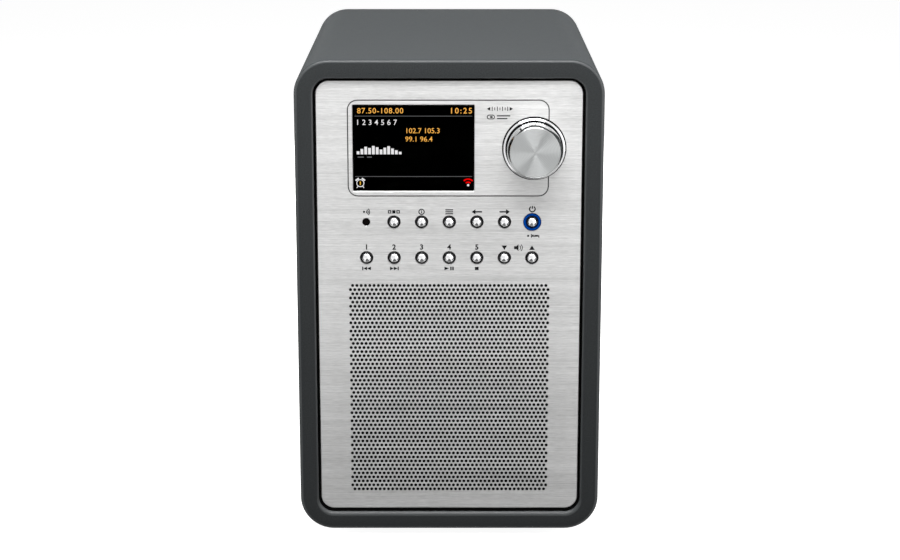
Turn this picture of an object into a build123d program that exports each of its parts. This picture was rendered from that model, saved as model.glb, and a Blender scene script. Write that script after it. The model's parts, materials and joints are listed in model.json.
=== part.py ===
"""Tabletop radio: a portrait cabinet with an aluminium front, a turning and pressing knob, thirteen
push buttons, a colour display and one loudspeaker behind a perforated field.

Millimetres. +Z up, the front faces -Y. The origin is on the table, under the middle of the radio.
"""

from build123d import *
from math import acos, asin, cos, degrees, radians, sin
import os

# ---------------------------------------------------------------- driving sizes

# Cabinet: one sleeve of uniform wall, open at the front and the back
cabinet_width = 120.0
cabinet_height = 191.0
cabinet_depth = 165.0
cabinet_wall = 7.3
cabinet_corner = 13.5
cabinet_outer_edge = 1.2
cabinet_inner_edge = 1.8
block_size = 13.0
block_depth = 12.0
foot_diameter = 12.0
foot_height = 2.5
foot_taper = 0.6
foot_inset = 22.0

# Front panel and the perforated field
panel_recess = 2.0
panel_gap = 0.9
panel_thickness = 1.0
panel_edge = 0.3
groove_width = 0.45
groove_depth = 0.25
groove_length = 77.7
groove_corner = 3.2
groove_margin = 2.1
grille_width = 79.2
grille_drop = 10.65
grille_margin = 7.6
grille_hole = 3.6
grille_pitch = 5.9

# Display
display_width = 47.2
display_height = 34.0
display_x = -13.9
controls_drop = 26.6
lens_overlap = 2.2
lens_thickness = 1.2
lcd_thickness = 2.6
lcd_frame_edge = 4.2
lcd_frame_top = 3.85
lcd_driver_ledge = 4.7
lcd_gasket = 0.2

# Buttons, status ring and infrared window
button_columns = 7
button_pitch = 10.83
button_row_drop = 55.85
button_row_pitch = 14.4
button_diameter = 4.3
button_hole = 4.9
button_dome = 1.1
button_shoulder = 0.3
button_flange = 6.0
button_flange_thickness = 0.8
button_travel = 0.5
stem_width = 2.8
ring_diameter = 6.9
ring_proud = 0.15
ring_flange = 8.6
window_diameter = 2.9
window_flange = 0.8
receiver_size = 6.4
receiver_dome = 4.0
receiver_dome_height = 0.8
receiver_leg = 0.6
receiver_leg_pitch = 2.0
receiver_leg_length = 1.2
switch_size = 6.0
switch_height = 3.5
switch_well = 1.4
lamp_width = 1.2
lamp_length = 2.0
lamp_height = 1.1
lamp_gap = 0.4

# Knob and its encoder
knob_x = 33.0
knob_diameter = 21.5
knob_reach = 10.0
knob_sink = 0.8
knob_bevel = 0.9
knob_wall = 1.6
knob_hub = 9.6
knob_face_thickness = 0.8
knob_travel = 0.5
hub_gap = 0.5
index_angle = 32.0
index_width = 0.55
index_depth = 1.2
escutcheon_diameter = 25.1
escutcheon_height = 1.6
escutcheon_wall = 0.6
encoder_size = 13.0
encoder_depth = 6.5
encoder_wall = 1.2
bushing_diameter = 8.0
bushing_length = 6.5
shaft_diameter = 6.0
shaft_flat = 1.5
plunger_diameter = 7.6
plunger_disc = 1.0
nut_width = 11.0
nut_thickness = 2.0

# Baffle: the moulded chassis behind the panel
baffle_thickness = 3.0
baffle_rim_depth = 12.0
baffle_rim_wall = 2.5
baffle_rib = 1.6
cloth_thickness = 0.4
cloth_border = 2.5
cloth_corner = 2.0
pad_thickness = 4.0
pad_border = 0.7
pad_opening = 2.8
boss_diameter = 5.6
boss_inset = 3.0
boss_wall = 1.0
board_inset = 4.5
board_thickness = 1.6

# Loudspeaker, radii about its own axis
speaker_overlap = 0.9
speaker_rim = 6.3
speaker_depth = 20.2
speaker_sheet = 1.2
basket_wall = 1.5
basket_collar = 2.0
basket_window_margin = 1.8
speaker_spokes = 6
basket_window = 15.0
ear_radius = 4.6
ear_reach = 2.5
spider_ledge = 23.0
spider_flat = 3.0
spider_shelf = 4.0
spider_crest = 1.2
roll_radius = 2.4
rubber_thickness = 0.7
cone_travel = 1.5
cone_sheet = 0.7
cone_depth = 11.1
cone_bend = 1.6
cone_neck = 2.4
cap_height = 3.6
cap_overlap = 1.9
coil_radius = 8.0
coil_wall = 0.6
coil_winding = 0.5
coil_gap = 1.0
pole_radius = 7.0
plate_thickness = 4.0
plate_radius = 22.0
magnet_radius = 26.0
magnet_thickness = 10.0
magnet_bore = 12.0
yoke_thickness = 4.0
yoke_chamfer = 1.5
yoke_inset = 1.0

# Back: cover, bass port and sockets
rear_recess = 7.5
rear_thickness = 3.0
rear_edge = 0.6
port_bore = 30.0
port_wall = 2.5
port_length = 68.0
port_flare = 4.0
port_flange = 1.8
port_lip = 2.0
port_drop = 52.0
bay_width = 66.0
bay_height = 18.0
bay_depth = 0.8
aerial_inset = 19.7
aerial_thread = 9.4
aerial_length = 7.0
aerial_hexagon = 12.6
aerial_flange = 2.0
aerial_relief = 0.5
aerial_neck = 8.0
aerial_nut = 3.0
aerial_tail = 8.0
aerial_wall = 1.2
aerial_pin_hole = 1.2
main_board_width = 72.0
main_board_depth = 80.0
standoff_height = 8.0
standoff_diameter = 7.0
jack_plug = 3.6
jack_bore_depth = 13.0
jack_body = 7.0
jack_length = 12.0
jack_collar = 6.0
jack_positions = (-4.0, 9.0, 22.0)
inlet_x = -20.0
inlet_width = 9.0
inlet_height = 11.0
inlet_length = 14.0
inlet_bore = 6.4
inlet_pin = 2.0
inlet_well = 9.8
inlet_pin_set = 1.0

# Small corners
moulded_corner = 1.0
case_corner = 0.8
board_corner = 2.0
bay_corner = 2.5

# Screws and fits
screw_diameter = 2.9
screw_head = 5.5
screw_head_height = 2.0
screw_hole_clearance = 0.1
board_screw_bite = 5.0
speaker_screw_bite = 5.0
rear_screw_bite = 7.0
baffle_screw_bite = 8.0
baffle_clearance = 0.3
drop_in_clearance = 0.2
running_clearance = 0.05
guide_clearance = 0.08
soft_clearance = 0.3

# Modules on the main board: sizes, and places from the middle of the board's front edge
tuner_size = (32.0, 24.0, 6.0)
tuner_place = (-16.0, 36.0)
tuner_corner = 1.5
wifi_card = (18.0, 26.0, 1.0)
wifi_can = (14.0, 16.0, 2.0)
wifi_place = (20.0, 24.0)
heatsink_base = (16.0, 14.0, 3.0)
heatsink_place = (13.0, 50.0)
heatsink_fins = 5
heatsink_fin = 1.4
heatsink_fin_height = 9.0

# Ribbon between the control board and the main board
ribbon_width = 20.0
ribbon_thickness = 0.8
ribbon_x = -13.0
ribbon_bend = 9.0
connector_depth = 5.0
connector_height = 6.0
connector_border = 1.5
connector_inset = 1.0

# ---------------------------------------------------------------- derived places

inner_width = cabinet_width - 2 * cabinet_wall
inner_height = cabinet_height - 2 * cabinet_wall
inner_corner = cabinet_corner - cabinet_wall
cabinet_base = foot_height
cabinet_middle = cabinet_base + cabinet_height / 2
floor_top = cabinet_base + cabinet_wall

overall_depth = cabinet_depth + knob_reach - panel_recess
cabinet_back = overall_depth / 2
cabinet_front = cabinet_back - cabinet_depth
panel_front = cabinet_front + panel_recess
panel_back = panel_front + panel_thickness
baffle_back = panel_back + baffle_thickness
pad_back = baffle_back + pad_thickness
rim_back = baffle_back + baffle_rim_depth

panel_width = inner_width - 2 * panel_gap
panel_height = inner_height - 2 * panel_gap
panel_corner = inner_corner - panel_gap
panel_top = cabinet_middle + panel_height / 2
panel_bottom = cabinet_middle - panel_height / 2
controls_z = panel_top - controls_drop
row_heights = (panel_top - button_row_drop, panel_top - button_row_drop - button_row_pitch)
column_places = [(i - (button_columns - 1) / 2) * button_pitch for i in range(button_columns)]
grille_height = row_heights[1] - grille_drop - panel_bottom - grille_margin
grille_z = panel_bottom + grille_margin + grille_height / 2

baffle_width = inner_width - 2 * baffle_clearance
baffle_height = inner_height - 2 * baffle_clearance
baffle_corner = inner_corner - baffle_clearance
baffle_inner_width = baffle_width - 2 * baffle_rim_wall
baffle_inner_height = baffle_height - 2 * baffle_rim_wall
baffle_inner_corner = baffle_corner - baffle_rim_wall
lens_width = display_width + 2 * lens_overlap
lens_height = display_height + 2 * lens_overlap
lens_back = panel_back + lens_thickness
lcd_front = lens_back + lcd_gasket
lcd_width = display_width + 2 * lcd_frame_edge + lcd_driver_ledge
lcd_height = display_height + 2 * lcd_frame_top
lcd_x = display_x - display_width / 2 - lcd_frame_edge / 2 + lcd_width / 2

encoder_back = baffle_back + encoder_depth
board_front = encoder_back
board_back = board_front + board_thickness
board_width = baffle_inner_width - 2 * drop_in_clearance
board_top = controls_z + lcd_height / 2 - board_inset
board_bottom = row_heights[1] - 2 * board_inset
board_boss_x = board_width / 2 - boss_inset
board_boss_heights = (board_bottom + board_inset, board_top - board_inset)
switch_front = board_front - switch_height
stem_end = switch_front + switch_well - button_travel - running_clearance

knob_radius = knob_diameter / 2
knob_front = panel_front - knob_reach
knob_back = panel_front + knob_sink
knob_well_floor = panel_front + panel_thickness + baffle_thickness / 2
bushing_front = baffle_back - bushing_length
hub_back = bushing_front - knob_travel - hub_gap
shaft_end = baffle_back + encoder_wall + plunger_disc
escutcheon_radius = escutcheon_diameter / 2
escutcheon_spigot = knob_radius + 2 * baffle_clearance + escutcheon_wall

block_x = inner_width / 2 - block_size / 2
block_heights = (floor_top + block_size / 2, floor_top + inner_height - block_size / 2)
corner_places = [(side * block_x, height) for side in (-1, 1) for height in block_heights]

speaker_radius = min(grille_width, grille_height) / 2 + speaker_overlap
speaker_opening = speaker_radius - speaker_rim
ear_circle = speaker_radius + ear_reach
cone_edge = speaker_opening - 2 * roll_radius - rubber_thickness / 2 - soft_clearance
basket_back = pad_back + speaker_depth
plate_back = basket_back + plate_thickness
magnet_back = plate_back + magnet_thickness
yoke_back = magnet_back + yoke_thickness
spider_seat = basket_back - 2 * speaker_sheet
spider_radius = spider_ledge - drop_in_clearance
neck_front = pad_back + cone_depth
ear_places = [
    (ear_circle * cos(radians(a)), grille_z + ear_circle * sin(radians(a))) for a in (45, 135, 225, 315)
]

rear_back = cabinet_back - rear_recess
rear_front = rear_back - rear_thickness
port_z = panel_top - port_drop
aerial_x = aerial_inset - inner_width / 2
aerial_z = port_z
aerial_thread_front = rear_back + aerial_flange + aerial_relief
aerial_tip = rear_back + aerial_length
main_board_z = floor_top + standoff_height
main_board_top = main_board_z + board_thickness
main_board_back = rear_front - 2 * drop_in_clearance
main_board_front = main_board_back - main_board_depth
jack_z = main_board_top + jack_body / 2
inlet_z = main_board_top + inlet_height / 2
bay_z = (jack_z + inlet_z) / 2
board_connector_z = board_bottom + connector_inset + connector_height / 2
main_connector_y = main_board_front + standoff_diameter + connector_inset + connector_depth / 2
standoff_places = [
    (side * (main_board_width / 2 - standoff_diameter), y)
    for side in (-1, 1)
    for y in (main_board_front + standoff_diameter, main_board_back - 4 * standoff_diameter)
]


# ---------------------------------------------------------------- helpers


def slab(outline, front, back):
    """A flat piece: an outline drawn in X and Z, from y = front to y = back."""
    return extrude(Plane.XZ.offset(-front) * outline, amount=front - back)


def at(x, z, outline):
    """An outline moved to x, z in the plane of the front."""
    return Pos(x, z) * outline


def spun(profile, x, z):
    """A profile in X (radius) and Y, turned about the line through x, z along Y."""
    return Pos(x, 0, z) * revolve(profile, axis=Axis.Y)


def turned(points, x, z):
    """A turned piece from (radius, y) points."""
    return spun(make_face(Polyline(*points, close=True)), x, z)


def arc(centre, radius, start, end, steps=3):
    """Points along an arc about a (radius, y) centre, between two angles in degrees."""
    angles = [radians(start + (end - start) * i / steps) for i in range(steps + 1)]
    return [(round(centre[0] + radius * cos(a), 6), round(centre[1] + radius * sin(a), 6)) for a in angles]


def tube(outer, inner, front, back, x, z):
    """A round tube along Y."""
    return slab(at(x, z, Circle(outer) - Circle(inner)), front, back)


def rod(radius, front, back, x, z):
    """A round bar along Y."""
    return slab(at(x, z, Circle(radius)), front, back)


def block(x, y, z):
    """A box from three (low, high) pairs."""
    size = [high - low for low, high in (x, y, z)]
    middle = [(high + low) / 2 for low, high in (x, y, z)]
    return Pos(*middle) * Box(*size)


def save(name, shape):
    """Writes one node."""
    export_step(shape, os.path.join("parts", name + ".step"))


# ---------------------------------------------------------------- cabinet


def cabinet():
    """The sleeve, with its front and back mouths rounded."""
    outer = slab(at(0, cabinet_middle, RectangleRounded(cabinet_width, cabinet_height, cabinet_corner)),
                 cabinet_front, cabinet_back)
    mouths = outer.edges().filter_by(lambda e: e.bounding_box().size.Y < 1e-6)
    outer = fillet(mouths, cabinet_outer_edge)
    bore = slab(at(0, cabinet_middle, RectangleRounded(inner_width, inner_height, inner_corner)),
                cabinet_front, cabinet_back)
    sleeve = outer - bore
    inner_mouths = [
        edge
        for edge in sleeve.edges()
        if edge.bounding_box().size.Y < 1e-6
        and edge.bounding_box().max.X < inner_width / 2 + 1e-3
        and edge.bounding_box().min.X > -inner_width / 2 - 1e-3
        and edge.bounding_box().max.Z < cabinet_middle + inner_height / 2 + 1e-3
        and edge.bounding_box().min.Z > cabinet_middle - inner_height / 2 - 1e-3
    ]
    return fillet(inner_mouths, cabinet_inner_edge)


def corner_blocks():
    """Eight blocks glued into the corners of the sleeve, for the screws of the baffle and the back."""
    square = Rectangle(block_size, block_size) - Circle(screw_diameter / 2 + screw_hole_clearance)
    opening = Rectangle(inner_width, inner_height)
    inside = at(0, cabinet_middle, chamfer(opening.vertices(), inner_corner))
    blocks = Part()
    for front in (rim_back, rear_front - block_depth):
        for x, z in corner_places:
            blocks += slab(at(x, z, square) & inside, front, front + block_depth)
    return blocks


def rubber_feet():
    """Four turned feet, slightly tapered, with a chamfered tread."""
    radius = foot_diameter / 2
    tread = radius - 2 * foot_taper
    outline = Polyline((0, 0), (tread, 0), (radius - foot_taper, foot_taper), (radius, foot_height),
                       (0, foot_height), close=True)
    foot = revolve(Plane.XZ * make_face(outline), axis=Axis.Z)
    feet = Part()
    for x in (-1, 1):
        for y in (cabinet_front + foot_inset, cabinet_back - foot_inset):
            feet += Pos(x * (cabinet_width / 2 - foot_inset), y, 0) * foot
    return feet


# ---------------------------------------------------------------- front panel


def grille_places():
    """Centres of the perforations, in rows that are offset by half a pitch."""
    columns = int((grille_width - grille_hole) / grille_pitch) + 1
    rows = int((grille_height - grille_hole) / grille_pitch) + 1
    column_pitch = (grille_width - grille_hole) / (columns - 1)
    row_pitch = (grille_height - grille_hole) / (rows - 1)
    places = []
    for row in range(rows):
        shorter = row % 2
        for column in range(columns - shorter):
            x = (column - (columns - 1 - shorter) / 2) * column_pitch
            places.append((x, grille_z + (row - (rows - 1) / 2) * row_pitch))
    return places


def button_places():
    """x, z of every button by name."""
    upper = ("mode", "info", "menu", "back", "forward", "power")
    lower = ("preset_1", "preset_2", "preset_3", "preset_4", "preset_5", "volume_down", "volume_up")
    places = {name: (x, row_heights[0]) for name, x in zip(upper, column_places[1:])}
    places.update({name: (x, row_heights[1]) for name, x in zip(lower, column_places)})
    return places


def front_panel():
    """The aluminium plate with its perforated field, windows, holes and the engraved frame line."""
    outline = RectangleRounded(panel_width, panel_height, panel_corner)
    plate = slab(at(0, cabinet_middle, outline), panel_front, panel_back)
    plate = chamfer(plate.faces().sort_by(Axis.Y)[0].edges(), panel_edge)
    power = button_places()["power"]
    holes = Sketch()
    holes += at(display_x, controls_z, Rectangle(display_width, display_height))
    holes += at(knob_x, controls_z, Circle(escutcheon_spigot + drop_in_clearance / 2))
    holes += at(column_places[0], row_heights[0], Circle(window_diameter / 2 + running_clearance))
    for place in button_places().values():
        radius = ring_diameter / 2 + running_clearance if place == power else button_hole / 2
        holes += at(*place, Circle(radius))
    plate -= slab(holes, panel_front, panel_back)
    perforation = RegularPolygon(grille_hole / 2, 6, major_radius=True)
    field = Sketch() + [at(x, z, perforation) for x, z in grille_places()]
    plate -= slab(field, panel_front, panel_back)
    height = display_height + 2 * groove_margin
    groove = RectangleRounded(groove_length, height, groove_corner)
    inside = 2 * groove_width
    groove -= RectangleRounded(groove_length - inside, height - inside, groove_corner - groove_width)
    return plate - slab(at(0, controls_z, groove), panel_front, panel_front + groove_depth)


def display_lens():
    """The clear window, bonded to the back of the panel."""
    outline = RectangleRounded(lens_width, lens_height, moulded_corner)
    return slab(at(display_x, controls_z, outline), panel_back, lens_back)


def lcd_module():
    """The display: a metal frame with the glass set in its front, and the driver ledge on the right."""
    frame = slab(at(lcd_x, controls_z, RectangleRounded(lcd_width, lcd_height, case_corner)),
                 lcd_front, lcd_front + lcd_thickness)
    ledge = lcd_width - display_width - 2 * lcd_frame_edge
    ledge_x = lcd_x + lcd_width / 2 - ledge / 2
    frame -= slab(at(ledge_x, controls_z, Rectangle(ledge, lcd_height - lcd_frame_edge)),
                  lcd_front, lcd_front + lcd_thickness / 4)
    tail = slab(at(ledge_x, controls_z, Rectangle(ledge / 2, lcd_height / 3)),
                lcd_front + lcd_thickness, board_front)
    return frame + tail


def grille_cloth():
    """The dust cloth between the perforations and the baffle."""
    outline = RectangleRounded(grille_width + cloth_border, grille_height + cloth_border, cloth_corner)
    return slab(at(0, grille_z, outline), panel_back, panel_back + cloth_thickness)


# ---------------------------------------------------------------- baffle


def front_baffle():
    """The moulded chassis: a plate with a rim, guides, wells, pads, ribs and screw bosses."""
    outline = RectangleRounded(baffle_width, baffle_height, baffle_corner)
    inside = RectangleRounded(baffle_inner_width, baffle_inner_height, baffle_inner_corner)
    plate = slab(at(0, cabinet_middle, outline), panel_back, baffle_back)
    rim = slab(at(0, cabinet_middle, outline - inside), baffle_back, rim_back)
    body = plate + rim

    pads = at(0, grille_z, Circle(speaker_radius + pad_border))
    for x, z in ear_places:
        pads += at(x, z, Circle(ear_radius + pad_border))
    body += slab(pads, baffle_back, pad_back)
    for side in (-1, 1):
        rib_x = side * (baffle_inner_width / 2 - 2 * baffle_rib)
        body += block((rib_x - baffle_rib / 2, rib_x + baffle_rib / 2), (baffle_back, pad_back),
                      (cabinet_middle - baffle_inner_height / 2, board_bottom))
        for z in board_boss_heights:
            body += rod(boss_diameter / 2, baffle_back, board_front, side * board_boss_x, z)
    for x, z in corner_places:
        body += rod(screw_head / 2 + boss_wall, baffle_back, rim_back, x, z)

    recess = cloth_border + 2 * soft_clearance
    cloth = RectangleRounded(grille_width + recess, grille_height + recess, cloth_corner + soft_clearance)
    body -= slab(at(0, grille_z, cloth), panel_back, panel_back + cloth_thickness + drop_in_clearance)
    body -= rod(speaker_opening + pad_opening, panel_back, pad_back, 0, grille_z)
    lens = RectangleRounded(lens_width + 2 * drop_in_clearance, lens_height + 2 * drop_in_clearance,
                            moulded_corner + drop_in_clearance)
    body -= slab(at(display_x, controls_z, lens), panel_back, baffle_back)
    lcd = Rectangle(lcd_width + 2 * drop_in_clearance, lcd_height + 2 * drop_in_clearance)
    body -= slab(at(lcd_x, controls_z, lcd), lcd_front, baffle_back)
    body -= rod(escutcheon_spigot + drop_in_clearance, panel_back, knob_well_floor, knob_x, controls_z)
    body -= rod(bushing_diameter / 2 + drop_in_clearance, panel_back, baffle_back, knob_x, controls_z)
    body -= rod(window_diameter / 2 + running_clearance, panel_back, baffle_back,
                column_places[0], row_heights[0])
    power = button_places()["power"]
    for place in button_places().values():
        guide = button_diameter / 2 + guide_clearance
        radius = ring_diameter / 2 + running_clearance if place == power else guide
        body -= rod(radius, panel_back, baffle_back, *place)
    pilot = screw_diameter / 2 + screw_hole_clearance
    for place in ear_places:
        body -= rod(pilot, panel_back + baffle_thickness / 2, pad_back, *place)
    for place in corner_places:
        body -= rod(pilot, baffle_back, rim_back, *place)
    for side in (-1, 1):
        for z in board_boss_heights:
            body -= rod(pilot, baffle_back, board_front, side * board_boss_x, z)
    return body


# ---------------------------------------------------------------- knob and encoder


def knob_escutcheon():
    """The bright ring round the knob, with a spigot through the panel."""
    inner = escutcheon_spigot - escutcheon_wall
    front = panel_front - escutcheon_height
    edge = escutcheon_wall
    points = arc((escutcheon_radius - edge, front + edge), edge, -90, 0)
    points += [(escutcheon_radius, panel_front), (escutcheon_spigot, panel_front),
               (escutcheon_spigot, knob_well_floor), (inner, knob_well_floor),
               (inner, front + edge / 2), (inner + edge / 2, front)]
    return turned(points, knob_x, controls_z)


def knob_shell():
    """The knob's cup: rounded front edge, seat for the face, hub with a flatted bore, index notch."""
    face_radius = knob_radius - knob_bevel
    seat = knob_front + knob_face_thickness
    inside = seat + knob_wall
    points = [(0, seat), (face_radius, seat)]
    points += arc((face_radius, knob_front + knob_bevel), knob_bevel, -90, 0)
    points += [(knob_radius, knob_back), (knob_radius - knob_wall, knob_back),
               (knob_radius - knob_wall, inside), (knob_hub / 2, inside), (knob_hub / 2, hub_back),
               (0, hub_back)]
    shell = turned(points, knob_x, controls_z)
    shell -= shaft_solid(inside - knob_wall / 2, hub_back, running_clearance / 2)
    notch = block((-index_width / 2, index_width / 2), (knob_front, knob_front + index_depth),
                  (face_radius + running_clearance, knob_radius))
    return shell - Pos(knob_x, 0, controls_z) * Rot(0, -index_angle, 0) * notch


def knob_face():
    """The spun disc let into the front of the knob."""
    radius = knob_radius - knob_bevel - running_clearance
    return rod(radius, knob_front, knob_front + knob_face_thickness, knob_x, controls_z)


def shaft_solid(front, back, growth):
    """The flatted shaft, grown outwards by a clearance."""
    radius = shaft_diameter / 2
    section = Circle(radius + growth)
    cut = Pos(0, radius - shaft_flat / 2 + growth + radius) * Rectangle(4 * radius, 2 * radius)
    return slab(at(knob_x, controls_z, section - cut), front, back)


def encoder_shaft():
    """The shaft: flatted in the knob, round in the bushing."""
    front = knob_front + knob_face_thickness + knob_wall / 2
    shaft = shaft_solid(front, hub_back, 0)
    return shaft + rod(shaft_diameter / 2, hub_back, shaft_end, knob_x, controls_z)


def encoder_body():
    """The encoder's case, hollow behind its bushing."""
    case = slab(at(knob_x, controls_z, RectangleRounded(encoder_size, encoder_size, case_corner)),
                baffle_back, encoder_back)
    case -= rod(encoder_size / 2 - encoder_wall, baffle_back + encoder_wall, encoder_back - encoder_wall,
                knob_x, controls_z)
    case += rod(bushing_diameter / 2, bushing_front, baffle_back + encoder_wall, knob_x, controls_z)
    return case - rod(shaft_diameter / 2 + running_clearance, bushing_front,
                      baffle_back + encoder_wall, knob_x, controls_z)


def encoder_nut():
    """The nut that clamps the bushing in the floor of the knob's well."""
    ring = RegularPolygon(nut_width / 2, 6, major_radius=False)
    ring -= Circle(bushing_diameter / 2 + running_clearance)
    return slab(at(knob_x, controls_z, ring), knob_well_floor - nut_thickness, knob_well_floor)


def encoder_plunger():
    """The plunger behind the shaft, which works the press switch."""
    disc_back = shaft_end + plunger_disc
    back = encoder_back - encoder_wall - knob_travel - running_clearance
    disc = rod(plunger_diameter / 2, shaft_end, disc_back, knob_x, controls_z)
    return disc + rod(shaft_diameter / 4, disc_back, back, knob_x, controls_z)


# ---------------------------------------------------------------- buttons and small front pieces


def button(place, flange_front):
    """A domed cap with a square retaining flange and the square stem that works its switch."""
    radius = button_diameter / 2
    shoulder = panel_front - button_shoulder
    crown = shoulder - button_dome
    dome_radius = (radius ** 2 + button_dome ** 2) / (2 * button_dome)
    span = degrees(asin(radius / dome_radius))
    dome = arc((0, crown + dome_radius), dome_radius, -90, span - 90)
    cap = turned(dome + [(radius, flange_front), (0, flange_front)], *place)
    flange_back = flange_front + button_flange_thickness
    flange = slab(at(*place, Rectangle(button_flange, button_flange)), flange_front, flange_back)
    return cap + flange + slab(at(*place, Rectangle(stem_width, stem_width)), flange_back, stem_end)


def power_light_ring():
    """The translucent ring round the power button, with a light-collecting flange behind the baffle."""
    guide = button_diameter / 2 + guide_clearance
    points = [(button_hole / 2, panel_front - ring_proud), (ring_diameter / 2, panel_front - ring_proud),
              (ring_diameter / 2, baffle_back), (ring_flange / 2, baffle_back),
              (ring_flange / 2, baffle_back + button_flange_thickness),
              (guide, baffle_back + button_flange_thickness), (guide, panel_back),
              (button_hole / 2, panel_back)]
    return turned(points, *button_places()["power"])


def ir_window():
    """The smoked plug in front of the infrared receiver."""
    place = (column_places[0], row_heights[0])
    plug = rod(window_diameter / 2, panel_front, baffle_back, *place)
    flange = window_diameter / 2 + window_flange
    return plug + rod(flange, baffle_back, baffle_back + window_flange, *place)


def ir_receiver():
    """The receiver: a moulded block with a lens dome, on three legs."""
    x, z = column_places[0], row_heights[0]
    half = receiver_size / 2
    front = baffle_back + window_flange + drop_in_clearance
    block_front = front + receiver_dome_height
    block_end = board_front - receiver_leg_length
    body = block((x - half, x + half), (block_front, block_end), (z - half, z + half))
    body += rod(receiver_dome / 2, front, block_front, x, z)
    for side in (-1, 0, 1):
        leg_x = x + side * receiver_leg_pitch
        body += block((leg_x - receiver_leg / 2, leg_x + receiver_leg / 2), (block_end, board_front),
                      (z - half, z - half + receiver_leg))
    return body


def tact_switches():
    """Thirteen switches on the control board, each open in front for its button's stem."""
    square = Rectangle(switch_size, switch_size)
    well = Rectangle(stem_width + 2 * guide_clearance, stem_width + 2 * guide_clearance)
    group = Part()
    for place in button_places().values():
        body = slab(at(*place, square), switch_front, board_front)
        group += body - slab(at(*place, well), switch_front, switch_front + switch_well)
    return group


def power_leds():
    """Two lamps on the control board, beside the power switch."""
    x, z = button_places()["power"]
    lamps = Part()
    for side in (-1, 1):
        lamp_x = x + side * (switch_size + lamp_width + 2 * lamp_gap) / 2
        lamps += block((lamp_x - lamp_width / 2, lamp_x + lamp_width / 2),
                       (board_front - lamp_height, board_front), (z - lamp_length / 2, z + lamp_length / 2))
    return lamps


def control_board():
    """The board behind the baffle, which carries the switches, the receiver and the encoder."""
    middle = (board_top + board_bottom) / 2
    outline = at(0, middle, RectangleRounded(board_width, board_top - board_bottom, board_corner))
    for side in (-1, 1):
        for z in board_boss_heights:
            outline -= at(side * board_boss_x, z, Circle(screw_diameter / 2 + screw_hole_clearance))
    return slab(outline, board_front, board_back)


# ---------------------------------------------------------------- loudspeaker


def speaker_basket():
    """The pressed basket: eared flange, spoked cone wall, spider ledge and back ring."""
    inner_back = pad_back + speaker_sheet
    floor = basket_back - speaker_sheet
    rise = spider_seat - speaker_sheet
    wall = spider_ledge + basket_wall
    collar = coil_radius + basket_collar
    shelf = spider_ledge - spider_shelf
    points = [(speaker_opening, pad_back), (speaker_radius, pad_back), (speaker_radius, inner_back),
              (speaker_opening + basket_wall, inner_back), (wall, rise), (wall, basket_back),
              (collar, basket_back), (collar, floor), (shelf, floor), (shelf, spider_seat),
              (spider_ledge, spider_seat), (spider_ledge, rise),
              (speaker_opening, inner_back + speaker_sheet / 3)]
    basket = turned(points, 0, grille_z)
    window = block((wall + drop_in_clearance, speaker_opening + 2 * basket_wall),
                   (inner_back + basket_window_margin, spider_seat - basket_window_margin),
                   (-basket_window / 2, basket_window / 2))
    for i in range(speaker_spokes):
        turn = Rot(0, (i + 0.5) * 360 / speaker_spokes, 0)
        basket -= Pos(0, 0, grille_z) * turn * window
    for x, z in ear_places:
        ear = rod(ear_radius, pad_back, inner_back, x, z)
        basket += ear - rod(speaker_opening + basket_wall, pad_back, inner_back, 0, grille_z)
    for x, z in ear_places:
        basket -= rod(screw_diameter / 2 + screw_hole_clearance, pad_back, inner_back, x, z)
    return basket


def speaker_surround():
    """The rubber half roll between the basket and the cone."""
    middle = speaker_opening - roll_radius
    outside = arc((middle, pad_back), roll_radius + rubber_thickness / 2, 180, 360, steps=5)
    inside = arc((middle, pad_back), roll_radius - rubber_thickness / 2, 360, 180, steps=5)
    roll = make_face(Polyline(*outside, *inside, close=True))
    foot = at(speaker_opening + roll_radius / 2, pad_back - rubber_thickness / 2,
              Rectangle(roll_radius, rubber_thickness))
    return spun(roll + foot, 0, grille_z)


def speaker_cone():
    """The curved paper cone, ending in a flat neck."""
    neck = coil_radius + cone_neck
    front = pad_back - cone_sheet
    outer = []
    for t in (0, 1 / 3, 2 / 3, 1):
        bulge = cone_bend * 4 * t * (1 - t)
        outer.append((cone_edge + (neck - cone_edge) * t - bulge, front + (neck_front - front) * t + bulge))
    bore = coil_radius - coil_wall
    inner = [(r, y + cone_sheet) for r, y in reversed(outer)]
    return turned(outer + [(bore, neck_front), (bore, neck_front + cone_sheet)] + inner, 0, grille_z)


def dust_cap():
    """The domed cap over the neck of the cone."""
    radius = coil_radius + cap_overlap
    dome = (radius ** 2 + cap_height ** 2) / (2 * cap_height)
    lining = dome - cone_sheet
    centre = (0, neck_front - cap_height + dome)
    span = degrees(asin(radius / dome))
    lining_span = degrees(acos((dome - cap_height) / lining))
    points = arc(centre, dome, -90, span - 90) + arc(centre, lining, lining_span - 90, -90)
    return turned(points, 0, grille_z)


def voice_coil():
    """The former with its winding in the magnet gap."""
    start = neck_front + cone_sheet
    end = plate_back + cone_travel
    winding_front = basket_back - cone_travel
    points = [(coil_radius - coil_wall, start), (coil_radius, start), (coil_radius, winding_front),
              (coil_radius + coil_winding, winding_front), (coil_radius + coil_winding, end),
              (coil_radius - coil_wall, end)]
    return turned(points, 0, grille_z)


def speaker_spider():
    """The corrugated suspension disc behind the cone."""
    inner = coil_radius + coil_winding + soft_clearance
    waves = 2
    step = (spider_radius - spider_flat - inner) / (2 * waves)
    seat = spider_seat - rubber_thickness
    upper = [(inner, seat)]
    for i in range(2 * waves):
        upper.append((inner + (i + 0.5) * step, seat - (spider_crest if i % 2 == 0 else 0)))
    upper += [(spider_radius - spider_flat, seat), (spider_radius, seat)]
    lower = [(r, y + rubber_thickness) for r, y in reversed(upper)]
    return turned(upper + lower, 0, grille_z)


def speaker_top_plate():
    """The front pole plate."""
    return tube(plate_radius, coil_radius + coil_gap, basket_back, plate_back, 0, grille_z)


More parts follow.
